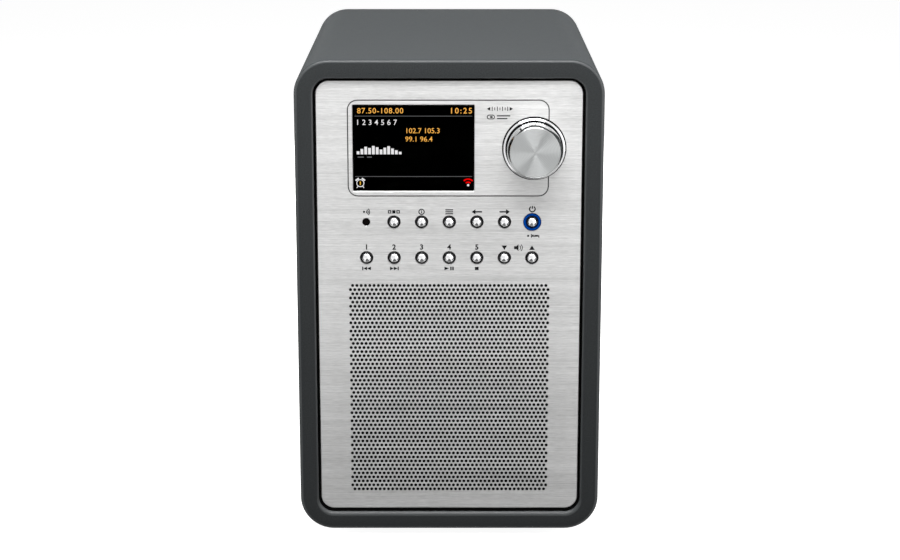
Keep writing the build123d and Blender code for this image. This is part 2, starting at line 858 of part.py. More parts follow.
def speaker_magnet():
    """The ferrite ring."""
    return tube(magnet_radius, magnet_bore, plate_back, magnet_back, 0, grille_z)


def speaker_yoke():
    """The back plate and pole piece, turned as one."""
    edge = magnet_radius - yoke_inset
    points = [(0, basket_back), (pole_radius, basket_back), (pole_radius, magnet_back), (edge, magnet_back),
              (edge, yoke_back - yoke_chamfer), (edge - yoke_chamfer, yoke_back), (0, yoke_back)]
    return turned(points, 0, grille_z)


# ---------------------------------------------------------------- back


def rear_panel():
    """The recessed cover with the port hole, the socket bay and its screw seats."""
    outline = RectangleRounded(baffle_width, baffle_height, baffle_corner)
    cover = slab(at(0, cabinet_middle, outline), rear_front, rear_back)
    cover = chamfer(cover.faces().sort_by(Axis.Y)[-1].edges(), rear_edge)
    bay = RectangleRounded(bay_width, bay_height, bay_corner)
    cover -= slab(at(0, bay_z, bay), rear_back - bay_depth, rear_back)
    cover -= rod(port_bore / 2 + port_wall + drop_in_clearance, rear_front, rear_back, 0, port_z)
    cover -= rod(aerial_neck / 2 + drop_in_clearance, rear_front, rear_back, aerial_x, aerial_z)
    for x in jack_positions:
        cover -= rod(jack_collar / 2 + drop_in_clearance, rear_front, rear_back, x, jack_z)
    inlet = Rectangle(inlet_width + 2 * drop_in_clearance, inlet_height + 2 * drop_in_clearance)
    cover -= slab(at(inlet_x, inlet_z, inlet), rear_front, rear_back)
    for place in corner_places:
        cover -= rod(screw_diameter / 2 + screw_hole_clearance, rear_front, rear_back, *place)
        cover -= rod(screw_head / 2 + drop_in_clearance, rear_back - screw_head_height / 2, rear_back, *place)
    return cover


def port_tube():
    """The bass port: a tube with a flared mouth and a flange on the outside of the cover."""
    bore = port_bore / 2
    mouth = rear_back + port_flange
    front = mouth - port_length
    lip = bore + port_flare
    points = [(bore, front)] + arc((lip, mouth - port_flare), port_flare, 180, 90)
    points += [(lip + port_lip, mouth), (lip + port_lip, rear_back), (bore + port_wall, rear_back),
               (bore + port_wall, front)]
    return turned(points, 0, port_z)


def main_board():
    """The horizontal board on the floor of the cabinet."""
    outline = Pos(0, (main_board_front + main_board_back) / 2) * RectangleRounded(
        main_board_width, main_board_depth, board_corner)
    for x, y in standoff_places:
        outline -= Pos(x, y) * Circle(screw_diameter / 2 + screw_hole_clearance)
    return Pos(0, 0, main_board_z) * extrude(outline, amount=board_thickness)


def board_standoffs():
    """Four pillars between the floor and the main board."""
    pillar = Circle(standoff_diameter / 2) - Circle(screw_diameter / 2 + screw_hole_clearance)
    group = Part()
    for x, y in standoff_places:
        group += Pos(x, y, floor_top) * extrude(pillar, amount=standoff_height)
    return group


def audio_sockets():
    """Three 3.5 mm sockets on the rear edge of the board, their collars through the cover."""
    group = Part()
    for x in jack_positions:
        back = rear_front - drop_in_clearance
        body = block((x - jack_body / 2, x + jack_body / 2), (back - jack_length, back),
                     (main_board_top, main_board_top + jack_body))
        body = body + rod(jack_collar / 2, back, rear_back - bay_depth / 2, x, jack_z)
        mouth = rear_back - bay_depth / 2
        group += body - rod(jack_plug / 2, mouth - jack_bore_depth, mouth, x, jack_z)
    return group


def dc_inlet():
    """The power inlet: a square body with a round well and a centre pin."""
    mouth = rear_back - bay_depth / 2
    body = block((inlet_x - inlet_width / 2, inlet_x + inlet_width / 2), (mouth - inlet_length, mouth),
                 (main_board_top, main_board_top + inlet_height))
    well_floor = mouth - inlet_well
    body -= rod(inlet_bore / 2, well_floor, mouth, inlet_x, inlet_z)
    return body + rod(inlet_pin / 2, well_floor, mouth - inlet_pin_set, inlet_x, inlet_z)


def aerial_socket():
    """The coaxial aerial socket: thread and hexagon outside the cover, a nut inside it."""
    radius = aerial_thread / 2
    neck = aerial_neck / 2
    tail = rear_front - aerial_tail
    lip = aerial_tip - aerial_relief
    nut_front = rear_front - aerial_nut
    points = [(0, tail), (neck / 2, tail), (neck / 2, nut_front), (neck, nut_front),
              (neck, aerial_thread_front), (radius, aerial_thread_front), (radius, aerial_tip),
              (radius - aerial_wall, aerial_tip), (radius - aerial_wall, lip), (aerial_pin_hole / 2, lip),
              (aerial_pin_hole / 2, rear_back), (0, rear_back)]
    hexagon = RegularPolygon(aerial_hexagon / 2, 6, major_radius=False)
    bored = hexagon - Circle(neck + running_clearance)
    socket = turned(points, aerial_x, aerial_z)
    socket += slab(at(aerial_x, aerial_z, hexagon - Circle(neck / 2)), rear_back, rear_back + aerial_flange)
    return Part() + [socket, slab(at(aerial_x, aerial_z, bored), nut_front, rear_front)]


def on_board(place, size):
    """A box standing on the main board, its place counted from the middle of the board's front edge."""
    return Pos(place[0], main_board_front + place[1], main_board_top + size[2] / 2) * Box(*size)


def tuner_module():
    """The screened tuner on the main board."""
    can = on_board(tuner_place, tuner_size)
    return fillet(can.edges().filter_by(Axis.Z), tuner_corner)


def wifi_module():
    """The wireless module: a small board with a screened can."""
    return on_board(wifi_place, wifi_card) + Pos(0, 0, wifi_card[2]) * on_board(wifi_place, wifi_can)


def amplifier_heatsink():
    """The finned heatsink of the amplifier."""
    sink = on_board(heatsink_place, heatsink_base)
    pitch = (heatsink_base[0] - heatsink_fin) / (heatsink_fins - 1)
    fin = (heatsink_fin, heatsink_base[1], heatsink_fin_height)
    for i in range(heatsink_fins):
        x = (i - (heatsink_fins - 1) / 2) * pitch
        sink += Pos(x, 0, heatsink_base[2]) * on_board(heatsink_place, fin)
    return sink


# ---------------------------------------------------------------- wiring between the boards


def ribbon_connectors():
    """The two sockets that the ribbon plugs into."""
    reach = ribbon_width / 2 + connector_border
    x = (ribbon_x - reach, ribbon_x + reach)
    upper = block(x, (board_back, board_back + connector_depth),
                  (board_connector_z - connector_height / 2, board_connector_z + connector_height / 2))
    lower = block(x, (main_connector_y - connector_depth / 2, main_connector_y + connector_depth / 2),
                  (main_board_top, main_board_top + connector_height))
    return Part() + [upper, lower]


def ribbon_cable():
    """The flat ribbon from the control board, back over the loudspeaker and down to the main board."""
    start = (board_back + connector_depth, board_connector_z)
    corner = (main_connector_y, board_connector_z)
    end = (main_connector_y, main_board_top + connector_height)
    path = FilletPolyline(start, corner, end, radius=ribbon_bend)
    path = Plane.YZ.offset(ribbon_x) * path
    start_plane = Plane(path @ 0, x_dir=(1, 0, 0), z_dir=path % 0)
    return sweep(start_plane * Rectangle(ribbon_width, ribbon_thickness), path=path)


# ---------------------------------------------------------------- screws


def screw(head_back, length):
    """A pan head screw along Y on the origin, its head behind head_back, its shank in front of it."""
    shank = screw_diameter / 2
    head = screw_head / 2
    points = [(0, head_back - length), (shank, head_back - length), (shank, head_back), (head, head_back),
              (head, head_back + screw_head_height), (0, head_back + screw_head_height)]
    return turned(points, 0, 0)


def screws(places, head_back, length):
    """A group of equal screws along Y."""
    one = screw(head_back, length)
    group = Part()
    for x, z in places:
        group += Pos(x, 0, z) * one
    return group


def board_screws():
    """The screws of the control board and, upright, of the main board."""
    places = [(side * board_boss_x, z) for side in (-1, 1) for z in board_boss_heights]
    length = board_thickness + board_screw_bite
    group = screws(places, board_back, length)
    upright = Rot(90, 0, 0) * screw(0, length)
    for x, y in standoff_places:
        group += Pos(x, y, main_board_top) * upright
    return group


# ---------------------------------------------------------------- writing


def main():
    """Builds every node and writes it."""
    os.makedirs("parts", exist_ok=True)
    fixed = [
        cabinet, corner_blocks, rubber_feet, front_panel, display_lens, lcd_module, grille_cloth,
        front_baffle, knob_escutcheon, encoder_body, encoder_nut, power_light_ring, ir_window,
        ir_receiver, tact_switches, power_leds, control_board, speaker_basket, speaker_surround,
        speaker_spider, speaker_top_plate, speaker_magnet, speaker_yoke, rear_panel, port_tube,
        main_board, board_standoffs, audio_sockets, dc_inlet, aerial_socket, tuner_module, wifi_module,
        amplifier_heatsink, ribbon_connectors, ribbon_cable, board_screws,
    ]
    moving = [encoder_plunger, encoder_shaft, knob_shell, knob_face, speaker_cone, voice_coil, dust_cap]
    for make in fixed + moving:
        save(make.__name__, make())
    rear_seat = rear_back - screw_head_height / 2
    save("rear_screws", screws(corner_places, rear_seat, rear_thickness + rear_screw_bite))
    save("baffle_screws", screws(corner_places, rim_back + block_depth, block_depth + baffle_screw_bite))
    save("speaker_screws", screws(ear_places, pad_back + speaker_sheet, speaker_sheet + speaker_screw_bite))
    for name, place in button_places().items():
        ring = button_flange_thickness if name == "power" else 0
        save("button_" + name, button(place, baffle_back + ring + running_clearance))


main()
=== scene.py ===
"""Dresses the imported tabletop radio: finishes, the fine perforation, printed symbols, display and light."""

import bmesh
import bpy
import json
from math import acos, cos, degrees, hypot, pi, radians, sin, sqrt
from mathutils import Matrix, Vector
from mathutils.geometry import delaunay_2d_cdt


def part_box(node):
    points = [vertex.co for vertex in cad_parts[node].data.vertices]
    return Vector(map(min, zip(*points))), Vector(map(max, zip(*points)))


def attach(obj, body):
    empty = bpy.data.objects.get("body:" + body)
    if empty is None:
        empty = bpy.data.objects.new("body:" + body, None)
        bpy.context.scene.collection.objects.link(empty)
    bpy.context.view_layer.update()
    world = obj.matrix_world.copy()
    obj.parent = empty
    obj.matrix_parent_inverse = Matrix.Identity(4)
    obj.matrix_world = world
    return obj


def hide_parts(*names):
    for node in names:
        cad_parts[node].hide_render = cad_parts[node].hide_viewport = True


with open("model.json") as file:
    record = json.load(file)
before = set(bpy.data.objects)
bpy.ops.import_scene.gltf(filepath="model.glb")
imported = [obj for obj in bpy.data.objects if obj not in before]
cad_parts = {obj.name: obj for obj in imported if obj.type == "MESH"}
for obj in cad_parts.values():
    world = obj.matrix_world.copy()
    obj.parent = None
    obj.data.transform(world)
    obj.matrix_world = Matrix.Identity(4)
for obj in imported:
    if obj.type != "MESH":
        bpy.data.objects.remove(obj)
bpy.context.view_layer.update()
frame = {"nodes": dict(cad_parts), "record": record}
MM = 0.001


def place(name):
    """Lowest and highest corner of a CAD node in millimetres."""
    low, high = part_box(name)
    return low / MM, high / MM


def middle(name):
    """x and z of the middle of a CAD node in millimetres."""
    low, high = place(name)
    return (low.x + high.x) / 2, (low.z + high.z) / 2


# -------- sizes in millimetres, as in the model

CAB_LOW, CAB_HIGH = place("cabinet")
CABINET_CORNER = 13.5
CABINET_WALL = 7.3
OUTER_EDGE, INNER_EDGE = 1.2, 1.8
PANEL_LOW, PANEL_HIGH = place("front_panel")
PANEL_FRONT, PANEL_BACK = PANEL_LOW.y, PANEL_HIGH.y
PANEL_CORNER = 5.3
LENS_LOW, LENS_HIGH = place("display_lens")
LENS_OVERLAP = 2.2
WINDOW = (LENS_LOW.x + LENS_OVERLAP, LENS_LOW.z + LENS_OVERLAP,
          LENS_HIGH.x - LENS_OVERLAP, LENS_HIGH.z - LENS_OVERLAP)
CLOTH_LOW, CLOTH_HIGH = place("grille_cloth")
CLOTH_BORDER = 1.25
KNOB_X, KNOB_Z = middle("knob_face")
KNOB_FRONT = place("knob_face")[0].y
BUTTONS = ("mode", "info", "menu", "back", "forward", "power", "preset_1", "preset_2", "preset_3", "preset_4",
           "preset_5", "volume_down", "volume_up")
AT = {name: middle("button_" + name) for name in BUTTONS}
COVER_BACK = place("rear_panel")[1].y


# -------- material helpers

WAVE_LENGTH = 0.314  # of Blender's wave texture at a scale of 1


def feed(tree, socket, value):
    """Links an output to a socket, or sets the socket to a constant."""
    if isinstance(value, bpy.types.NodeSocket):
        tree.links.new(value, socket)
    else:
        socket.default_value = value


def node(tree, kind, *inputs, **values):
    """A new shader node: inputs for its first sockets in order, values for sockets or properties by name."""
    made = tree.nodes.new("ShaderNode" + kind)
    for key, value in values.items():
        if key in made.inputs.keys():
            feed(tree, made.inputs[key], value)
        else:
            setattr(made, key, value)
    for index, value in enumerate(inputs):
        feed(tree, made.inputs[index], value)
    return made


class Material:
    """A principled material with helpers for procedural detail in object space."""

    def __init__(self, name, colour, metallic=0.0, roughness=0.5, specular=0.5, **sockets):
        self.mat = bpy.data.materials.new(name)
        self.mat.use_nodes = True
        self.mat.diffuse_color = (*colour, 1)
        self.tree = self.mat.node_tree
        self.bsdf = self.tree.nodes["Principled BSDF"]
        self.colour = colour
        self.roughness = roughness
        self.set(Base_Color=(*colour, 1), Metallic=metallic, Roughness=roughness, Specular_IOR_Level=specular,
                 **sockets)

    def set(self, **sockets):
        """Gives the shader's sockets constants or links."""
        for key, value in sockets.items():
            feed(self.tree, self.bsdf.inputs[key.replace("_", " ")], value)

    def node(self, kind, *inputs, **values):
        return node(self.tree, kind, *inputs, **values)

    def coords(self, scale=(1, 1, 1)):
        """Object coordinates in millimetres, stretched."""
        where = self.node("TexCoord").outputs["Object"]
        return self.node("Mapping", where, Scale=tuple(s / MM for s in scale)).outputs["Vector"]

    def noise(self, size, stretch=(1, 1, 1), detail=3.0, rough=0.55):
        """Noise whose features are about size millimetres."""
        return self.node("TexNoise", self.coords(stretch), Scale=1.0 / size, Detail=detail,
                         Roughness=rough).outputs["Fac"]

    def wave(self, size, axis, distortion=0.0):
        """Bands across an axis, size millimetres apart."""
        return self.node("TexWave", self.coords(), wave_type="BANDS", wave_profile="SIN",
                         bands_direction=axis, Scale=WAVE_LENGTH / size, Distortion=distortion).outputs["Fac"]

    def distance(self, x, y, z):
        """Distance in millimetres from a point given in millimetres."""
        made = self.node("VectorMath", self.coords(), (x, y, z), operation="DISTANCE")
        return made.outputs["Value"]

    def remap(self, value, low, high, from_low=0.3, from_high=0.7):
        """A value between two numbers, carried over to between two others and held there."""
        return self.node("MapRange", value, from_low, from_high, low, high).outputs["Result"]

    def math(self, operation, one, two):
        return self.node("Math", one, two, operation=operation).outputs[0]

    def tangent(self, **values):
        """Points the brushing along a direction."""
        self.set(Tangent=self.node("Tangent", **values).outputs["Tangent"])

    def blend_colour(self, factor, dark, light):
        mix = self.node("Mix", data_type="RGBA", Factor=factor, A=(*dark, 1), B=(*light, 1))
        self.set(Base_Color=mix.outputs["Result"])

    def vary_colour(self, value, spread):
        dark = tuple(c * (1 - spread) for c in self.colour)
        light = tuple(min(1, c * (1 + spread)) for c in self.colour)
        self.blend_colour(self.remap(value, 0, 1), dark, light)

    def vary_roughness(self, value, spread):
        low, high = self.roughness - spread, self.roughness + spread
        self.set(Roughness=self.remap(value, max(low, 0.02), min(high, 1)))

    def bump(self, value, depth):
        """Relief of depth millimetres."""
        self.set(Normal=self.node("Bump", Height=value, Distance=depth * MM).outputs["Normal"])


def grained(name, colour, metallic, roughness, size, depth, specular=0.5, spread=0.06, rough_spread=0.06,
            stretch=(1, 1, 1), **sockets):
    """Relief of size and depth in millimetres with slight variation of colour and gloss."""
    made = Material(name, colour, metallic, roughness, specular, **sockets)
    relief, clouds = made.noise(size, stretch), made.noise(9 * size, stretch, detail=4.0)
    made.bump(relief, depth)
    made.vary_roughness(relief, rough_spread)
    made.vary_colour(clouds, spread)
    return made.mat


# -------- materials


def cabinet_paint():
    """Matt paint with a fine orange-peel relief and faint specks."""
    made = Material("cabinet_paint", (0.039, 0.042, 0.0435), 0, 0.85, 0.05)
    made.bump(made.noise(0.32, detail=2.0), 0.03)
    speck = made.noise(0.5, detail=1.0)
    made.blend_colour(made.remap(speck, 0, 1), (0.034, 0.0365, 0.038), (0.044, 0.0475, 0.049))
    made.vary_roughness(made.noise(2.0, detail=4.0), 0.03)
    return made.mat


def edge_paint():
    """The same paint where it is rubbed smooth on the edges of the front."""
    made = Material("edge_paint", (0.042, 0.046, 0.048), 0, 0.5, 0.4)
    made.bump(made.noise(0.32, detail=2.0), 0.02)
    made.vary_roughness(made.noise(2.0, detail=4.0), 0.05)
    return made.mat


def brushed_panel():
    """Aluminium brushed from side to side: long and short scratches over broad streaks."""
    made = Material("panel_aluminium", (0.66, 0.66, 0.65), 0.9, 0.42, Anisotropic=0.5,
                    Anisotropic_Rotation=0.25)
    made.tangent(direction_type="UV_MAP", uv_map="along")
    long_lines = made.noise(0.42, (0.010, 1, 1), detail=5.0, rough=0.7)
    short_lines = made.noise(0.34, (0.080, 1, 1), rough=0.7)
    streaks = made.noise(2.6, (0.030, 1, 1))
    scratch_share, streak_share = 0.4, 0.2
    lines = made.math("MULTIPLY", long_lines, scratch_share)
    for extra, share in ((short_lines, scratch_share), (streaks, streak_share)):
        lines = made.math("ADD", lines, made.math("MULTIPLY", extra, share))
    made.blend_colour(made.remap(lines, 0, 1, 0.36, 0.64), (0.46, 0.46, 0.458), (0.735, 0.735, 0.73))
    made.set(Roughness=made.remap(lines, 0.36, 0.5))
    made.bump(short_lines, 0.004)
    return made.mat


def spun_face():
    """Aluminium turned about the front-to-back axis, with fine rings from the tool."""
    made = Material("knob_spun", (0.39, 0.40, 0.40), 1.0, 0.3, Anisotropic=0.93, Anisotropic_Rotation=0.25)
    made.tangent(direction_type="RADIAL", axis="Y")
    ring_pitch = 0.55
    turns = made.math("MULTIPLY", made.distance(KNOB_X, KNOB_FRONT, KNOB_Z), 2 * pi / ring_pitch)
    rings = made.math("SINE", turns, 0.0)
    made.blend_colour(made.remap(rings, 0, 1, -1, 1), (0.37, 0.38, 0.38), (0.47, 0.48, 0.48))
    made.set(Roughness=made.remap(rings, 0.30, 0.37, -1, 1))
    return made.mat


def lens_clear():
    """The display's window, without a reflection of its own."""
    made = Material("lens_clear", (0.95, 0.95, 0.96), 0, 0.0, Transmission_Weight=1.0, IOR=1.0)
    made.set(Roughness=made.remap(made.noise(6.0, detail=2.0), 0.0, 0.01))
    return made.mat


def woven(name, colour, pitch):
    """A plain weave with threads pitch millimetres apart."""
    made = Material(name, colour, 0, 0.85)
    threads = made.math("MULTIPLY", made.wave(pitch, "X", 0.4), made.wave(pitch, "Z", 0.4))
    made.bump(threads, 0.12)
    made.vary_colour(threads, 0.25)
    return made.mat


def chrome():
    made = Material("chrome_trim", (0.82, 0.82, 0.83), 1.0, 0.07)
    made.bump(made.noise(3.0, detail=2.0), 0.003)
    made.vary_roughness(made.noise(1.5, detail=4.0), 0.03)
    return made.mat


def knob_metal():
    """Polished aluminium with fine marks from the lathe."""
    made = Material("knob_metal", (0.68, 0.69, 0.69), 1.0, 0.1)
    made.bump(made.wave(0.09, "Y"), 0.0006)
    made.vary_roughness(made.noise(0.5), 0.03)
    return made.mat


def ring_blue():
    """Blue light guide with a glow painted into its colour, brightest half way between its edges."""
    made = Material("ring_blue", (0.0, 0.012, 0.12), 0, 0.4, 0.04, Emission_Color=(0.0, 0.03, 0.3, 1),
                    Emission_Strength=0.04)
    x, z = middle("power_light_ring")
    front = place("power_light_ring")[0].y
    middle_radius, half_width, bright_half = 2.95, 0.5, 0.08
    offset = made.math("SUBTRACT", made.distance(x, front, z), middle_radius)
    painted_glow = made.remap(made.math("ABSOLUTE", offset, 0.0), 1, 0, bright_half, half_width)
    # painted glow: the base colour is lighter half way between the ring's edges
    made.blend_colour(painted_glow, (0.0, 0.005, 0.08), (0.0, 0.072, 0.40))
    made.bump(made.noise(0.5), 0.006)
    return made.mat


# Near-black rubber for the dark gaps round the panel and the knob ring: painted shade.
def seal_rubber():
    return grained("seal_rubber", (0.002, 0.002, 0.002), 0, 0.9, 0.3, 0.02, 0.0)


def print_ink(name, grey):
    return grained(name, grey, 0, 0.6, 0.12, 0.003, 0.1)


def circuit_board():
    """Solder mask over tracks."""
    made = Material("circuit_board", (0.01, 0.11, 0.045), 0, 0.35, Coat_Weight=0.3)
    cells = made.node("TexVoronoi", made.coords(), feature="DISTANCE_TO_EDGE", Scale=0.35)
    tracks = made.remap(cells.outputs["Distance"], 1, 0, 0.03, 0.09)
    made.blend_colour(tracks, (0.008, 0.085, 0.035), (0.03, 0.19, 0.08))
    made.bump(tracks, 0.03)
    return made.mat


def coil():
    """Copper wire wound in turns of 0.22 mm."""
    made = Material("coil_copper", (0.62, 0.27, 0.12), 1.0, 0.3)
    turns = made.wave(0.22, "Y")
    made.bump(turns, 0.08)
    made.vary_colour(turns, 0.2)
    return made.mat


def ribbon():
    """Flat cable with a wire every millimetre."""
    made = Material("ribbon", (0.36, 0.37, 0.39), 0, 0.45)
    wires = made.wave(1.0, "X")
    made.bump(wires, 0.25)
    made.blend_colour(made.remap(wires, 0, 1), (0.25, 0.26, 0.28), (0.42, 0.43, 0.45))
    return made.mat


def emitter(name, colour, strength):
    """A lit part of the display, unaffected by other light."""
    made = Material(name, (0, 0, 0), 0, 0.6, 0.0, Emission_Color=(*colour, 1), Emission_Strength=strength)
    made.vary_roughness(made.noise(0.3, detail=1.0), 0.05)
    return made.mat


def dress_nodes():
    """Gives every CAD node a procedural material by its slot in the record, and returns the materials."""
    looks = {
        "cabinet_paint": cabinet_paint(),
        "panel_aluminium": brushed_panel(),
        "lens_clear": lens_clear(),
        "lcd": grained("lcd_black", (0.0001, 0.0001, 0.0001), 0, 0.9, 0.6, 0.002, 0.0),
        "cloth": woven("grille_scrim", (0.004, 0.004, 0.004), 0.5),
        "chrome_trim": chrome(),
        "knob_metal": knob_metal(),
        "knob_spun": spun_face(),
        "ring_blue": ring_blue(),
        "led": grained("led", (0.72, 0.78, 0.85), 0, 0.2, 0.8, 0.006, Transmission_Weight=0.4),
        "circuit_board": circuit_board(),
        "spider_cloth": woven("spider_cloth", (0.40, 0.27, 0.10), 0.6),
        "coil_copper": coil(),
        "ribbon": ribbon(),
    }
    plain = {
        # slot: colour, metallic, roughness, size and depth of the grain, then specular, spreads and stretch
        "block_wood": ((0.42, 0.29, 0.17), 0, 0.75, 0.5, 0.05, 0.5, 0.25, 0.05, (1, 0.08, 1)),
        "foot_rubber": ((0.012, 0.012, 0.013), 0, 0.8, 0.3, 0.03, 0.15),
        "black_plastic": ((0.014, 0.015, 0.016), 0, 0.55, 0.35, 0.03, 0.25, 0.1, 0.08),
        "ir_smoked": ((0.003, 0.002, 0.002), 0, 0.3, 2.0, 0.004, 0.03),
        "steel": ((0.55, 0.56, 0.57), 1, 0.33, 0.25, 0.008, 0.5, 0.08, 0.08),
        "component_plastic": ((0.020, 0.020, 0.022), 0, 0.45, 0.25, 0.02),
        "ferrite": ((0.035, 0.035, 0.036), 0.2, 0.6, 0.3, 0.04, 0.5, 0.2),
        "cone_paper": ((0.030, 0.030, 0.031), 0, 0.9, 0.6, 0.08, 0.5, 0.2),
        "roll_rubber": ((0.015, 0.015, 0.016), 0, 0.55, 0.5, 0.02),
        "heatsink": ((0.03, 0.03, 0.032), 0.8, 0.4, 0.3, 0.01, 0.5, 0.06, 0.06, (1, 0.1, 1)),
    }
    looks.update({slot: grained(slot, *values) for slot, values in plain.items()})
    slots = {part["node"]: part["material_slot"] for part in frame["record"]["subparts"]}
    for name, solid in frame["nodes"].items():
        solid.data.materials.clear()
        solid.data.materials.append(looks[slots[name]])
    return looks


# -------- mesh helpers


def added(name, data):
    """A new object in the scene."""
    made = bpy.data.objects.new(name, data)
    bpy.context.scene.collection.objects.link(made)
    return made


def thing(name, shape, slot=None, look=None, also=(), body="radio_body", smooth=None, indices=None):
    """An object for points and faces, riding on a CAD body.

    shape is in millimetres. The material is look, or else the slot's own. Others are in also, and indices say
    which one each face has. smooth is the angle above which edges stay sharp.
    """
    verts, faces = shape
    mesh = bpy.data.meshes.new(name)
    mesh.from_pydata([(x * MM, y * MM, z * MM) for x, y, z in verts], [], faces)
    for one in (look or LOOKS[slot], *also):
        mesh.materials.append(one)
    if indices:
        mesh.polygons.foreach_set("material_index", indices)
    work = bmesh.new()
    work.from_mesh(mesh)
    bmesh.ops.recalc_face_normals(work, faces=work.faces)
    work.to_mesh(mesh)
    work.free()
    mesh.update()
    if smooth is not None:
        mesh.shade_smooth()
        mesh.set_sharp_from_angle(angle=radians(smooth))
    made = added(name, mesh)
    if body:
        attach(made, body)
    return made


def lathe(profile, x, z, segments=96):
    """Points and faces of (radius, y) points turned about the line through x, z along Y.

    A radius of 0 is a pole.
    """
    verts, faces, rows = [], [], []
    for radius, y in profile:
        if radius < 1e-6:
            rows.append([len(verts)] * segments)
            verts.append((x, y, z))
        else:
            rows.append(list(range(len(verts), len(verts) + segments)))
            for i in range(segments):
                a = 2 * pi * i / segments
                verts.append((x + radius * sin(a), y, z + radius * cos(a)))
    for one, two in zip(rows, rows[1:]):
        for i in range(segments):
            j = (i + 1) % segments
            face = list(dict.fromkeys((one[i], two[i], two[j], one[j])))
            if len(face) > 2:
                faces.append(face)
    return verts, faces


def arc(cx, cy, radius, start, end, steps):
    """Points of an arc between two angles in degrees."""
    angles = [radians(start + (end - start) * i / steps) for i in range(steps + 1)]
    return [(cx + radius * cos(a), cy + radius * sin(a)) for a in angles]


def circle(x, z, radius, count):
    angles = [2 * pi * i / count for i in range(count)]
    return [(x + radius * cos(a), z + radius * sin(a)) for a in angles]


def rounded(x0, z0, x1, z1, radius, steps=6):
    """A rounded rectangle, anticlockwise."""
    points = []
    for cx, cz, a in ((x1 - radius, z1 - radius, 0), (x0 + radius, z1 - radius, 90),
                      (x0 + radius, z0 + radius, 180), (x1 - radius, z0 + radius, 270)):
        points += arc(cx, cz, radius, a, a + 90, steps)
    return points


def joined(parts):
    """One list of points and faces from several."""
    verts, faces = [], []
    for some_verts, some_faces in parts:
        faces += [[i + len(verts) for i in face] for face in some_faces]
        verts += some_verts
    return verts, faces


def prism(outline, front, back):
    """A flat polygon in X and Z made solid between two depths."""
    n = len(outline)
    area = sum(a[0] * b[1] - b[0] * a[1] for a, b in zip(outline, outline[1:] + outline[:1]))
    if area < 0:
        outline = outline[::-1]
    verts = [(x, front, z) for x, z in outline] + [(x, back, z) for x, z in outline]
    faces = [list(range(n)), list(range(2 * n - 1, n - 1, -1))]
    faces += [[(i + 1) % n, i, n + i, n + (i + 1) % n] for i in range(n)]
    return verts, faces


def hoop_faces(rows, count):
    """Faces of a closed section of rows points carried round a loop of count points."""
    faces = []
    for row in range(rows):
        one, two = row * count, (row + 1) % rows * count
        faces += [[one + i, one + (i + 1) % count, two + (i + 1) % count, two + i] for i in range(count)]
    return faces


def triangles(loops):
    """Triangles between loops of points, and the number of the loop that each point is on.

    The first loop is the outer one. Triangles that fill the others are among them.
    """
    points = [Vector(p) for loop in loops for p in loop]
    edges, owner, start = [], [], 0
    for number, loop in enumerate(loops):
        n = len(loop)
        edges += [(start + i, start + (i + 1) % n) for i in range(n)]
        owner += [number] * n
        start += n
    _, _, faces, originals, _, _ = delaunay_2d_cdt(points, edges, [], 0, 1e-7)
    back = [o[0] for o in originals]
    return [[back[i] for i in face] for face in faces], owner


def inside(point, polygon):
    x, z = point
    hit = False
    for (x1, z1), (x2, z2) in zip(polygon, polygon[1:] + polygon[:1]):
        if (z1 > z) != (z2 > z) and x < (x2 - x1) * (z - z1) / (z2 - z1) + x1:
            hit = not hit
    return hit


# -------- the cabinet


def cabinet_loop(inset, steps):
    """The cabinet's outline moved inwards."""
    return rounded(CAB_LOW.x + inset, CAB_LOW.z + inset, CAB_HIGH.x - inset, CAB_HIGH.z - inset,
                   CABINET_CORNER - inset, steps)


def cabinet():
    """The painted sleeve: its wall's section, with rounded mouths, carried round the outline.

    The front opening's edge is rounder at its sill than at its sides and top.
    """
    front, back = CAB_LOW.y, CAB_HIGH.y
    fine_edge, fillet_steps, edge_steps, corner_steps = 0.6, 8, 10, 20

    def section(inner):
        points = arc(OUTER_EDGE, front + OUTER_EDGE, OUTER_EDGE, 180, 270, fillet_steps)
        points += arc(CABINET_WALL - inner, front + inner, inner, 270, 360, edge_steps)
        points += arc(CABINET_WALL - INNER_EDGE, back - INNER_EDGE, INNER_EDGE, 0, 90, edge_steps)
        return points + arc(OUTER_EDGE, back - OUTER_EDGE, OUTER_EDGE, 90, 180, fillet_steps)

    sections = []
    for start in (0, 90, 180, 270):
        for i in range(corner_steps + 1):
            down = max(0.0, -sin(radians(start + 90 * i / corner_steps)))
            sections.append(section(fine_edge + (INNER_EDGE - fine_edge) * down))
    rows, count = len(sections[0]), len(sections)
    verts = []
    for row in range(rows):
        for i in range(count):
            inset, y = sections[i][row]
            x, z = cabinet_loop(inset, corner_steps)[i]
            verts.append((x, y, z))
    inner_row = fillet_steps + 1
    # rows of faces on the front half of the outer fillet and on the opening's edge
    rubbed = {*range(fillet_steps // 2, fillet_steps), *range(inner_row, inner_row + edge_steps)}
    indices = [1 if row in rubbed else 0 for row in range(rows) for _ in range(count)]
    made = thing("cabinet_shell", (verts, hoop_faces(rows, count)), "cabinet_paint", also=[edge_paint()],
                 smooth=40, indices=indices)
    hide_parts("cabinet")


# -------- the perforated panel


def grille_holes():
    """Centres of the fine perforation: rows of 46 and 47 holes in turn, 51 rows."""
    x0, x1 = CLOTH_LOW.x + CLOTH_BORDER, CLOTH_HIGH.x - CLOTH_BORDER
    z0, z1 = CLOTH_LOW.z + CLOTH_BORDER, CLOTH_HIGH.z - CLOTH_BORDER
    rows, columns, radius = 51, 47, 0.63
    pitch = (x1 - x0 - 2 * radius) / (columns - 1)
    centre_x = (x0 + x1) / 2
    places = []
    for row in range(rows):
        z = z0 + radius + (z1 - z0 - 2 * radius) * row / (rows - 1)
        count = columns - 1 + row % 2
        places += [(centre_x + (i - (count - 1) / 2) * pitch, z) for i in range(count)]
    return places, radius


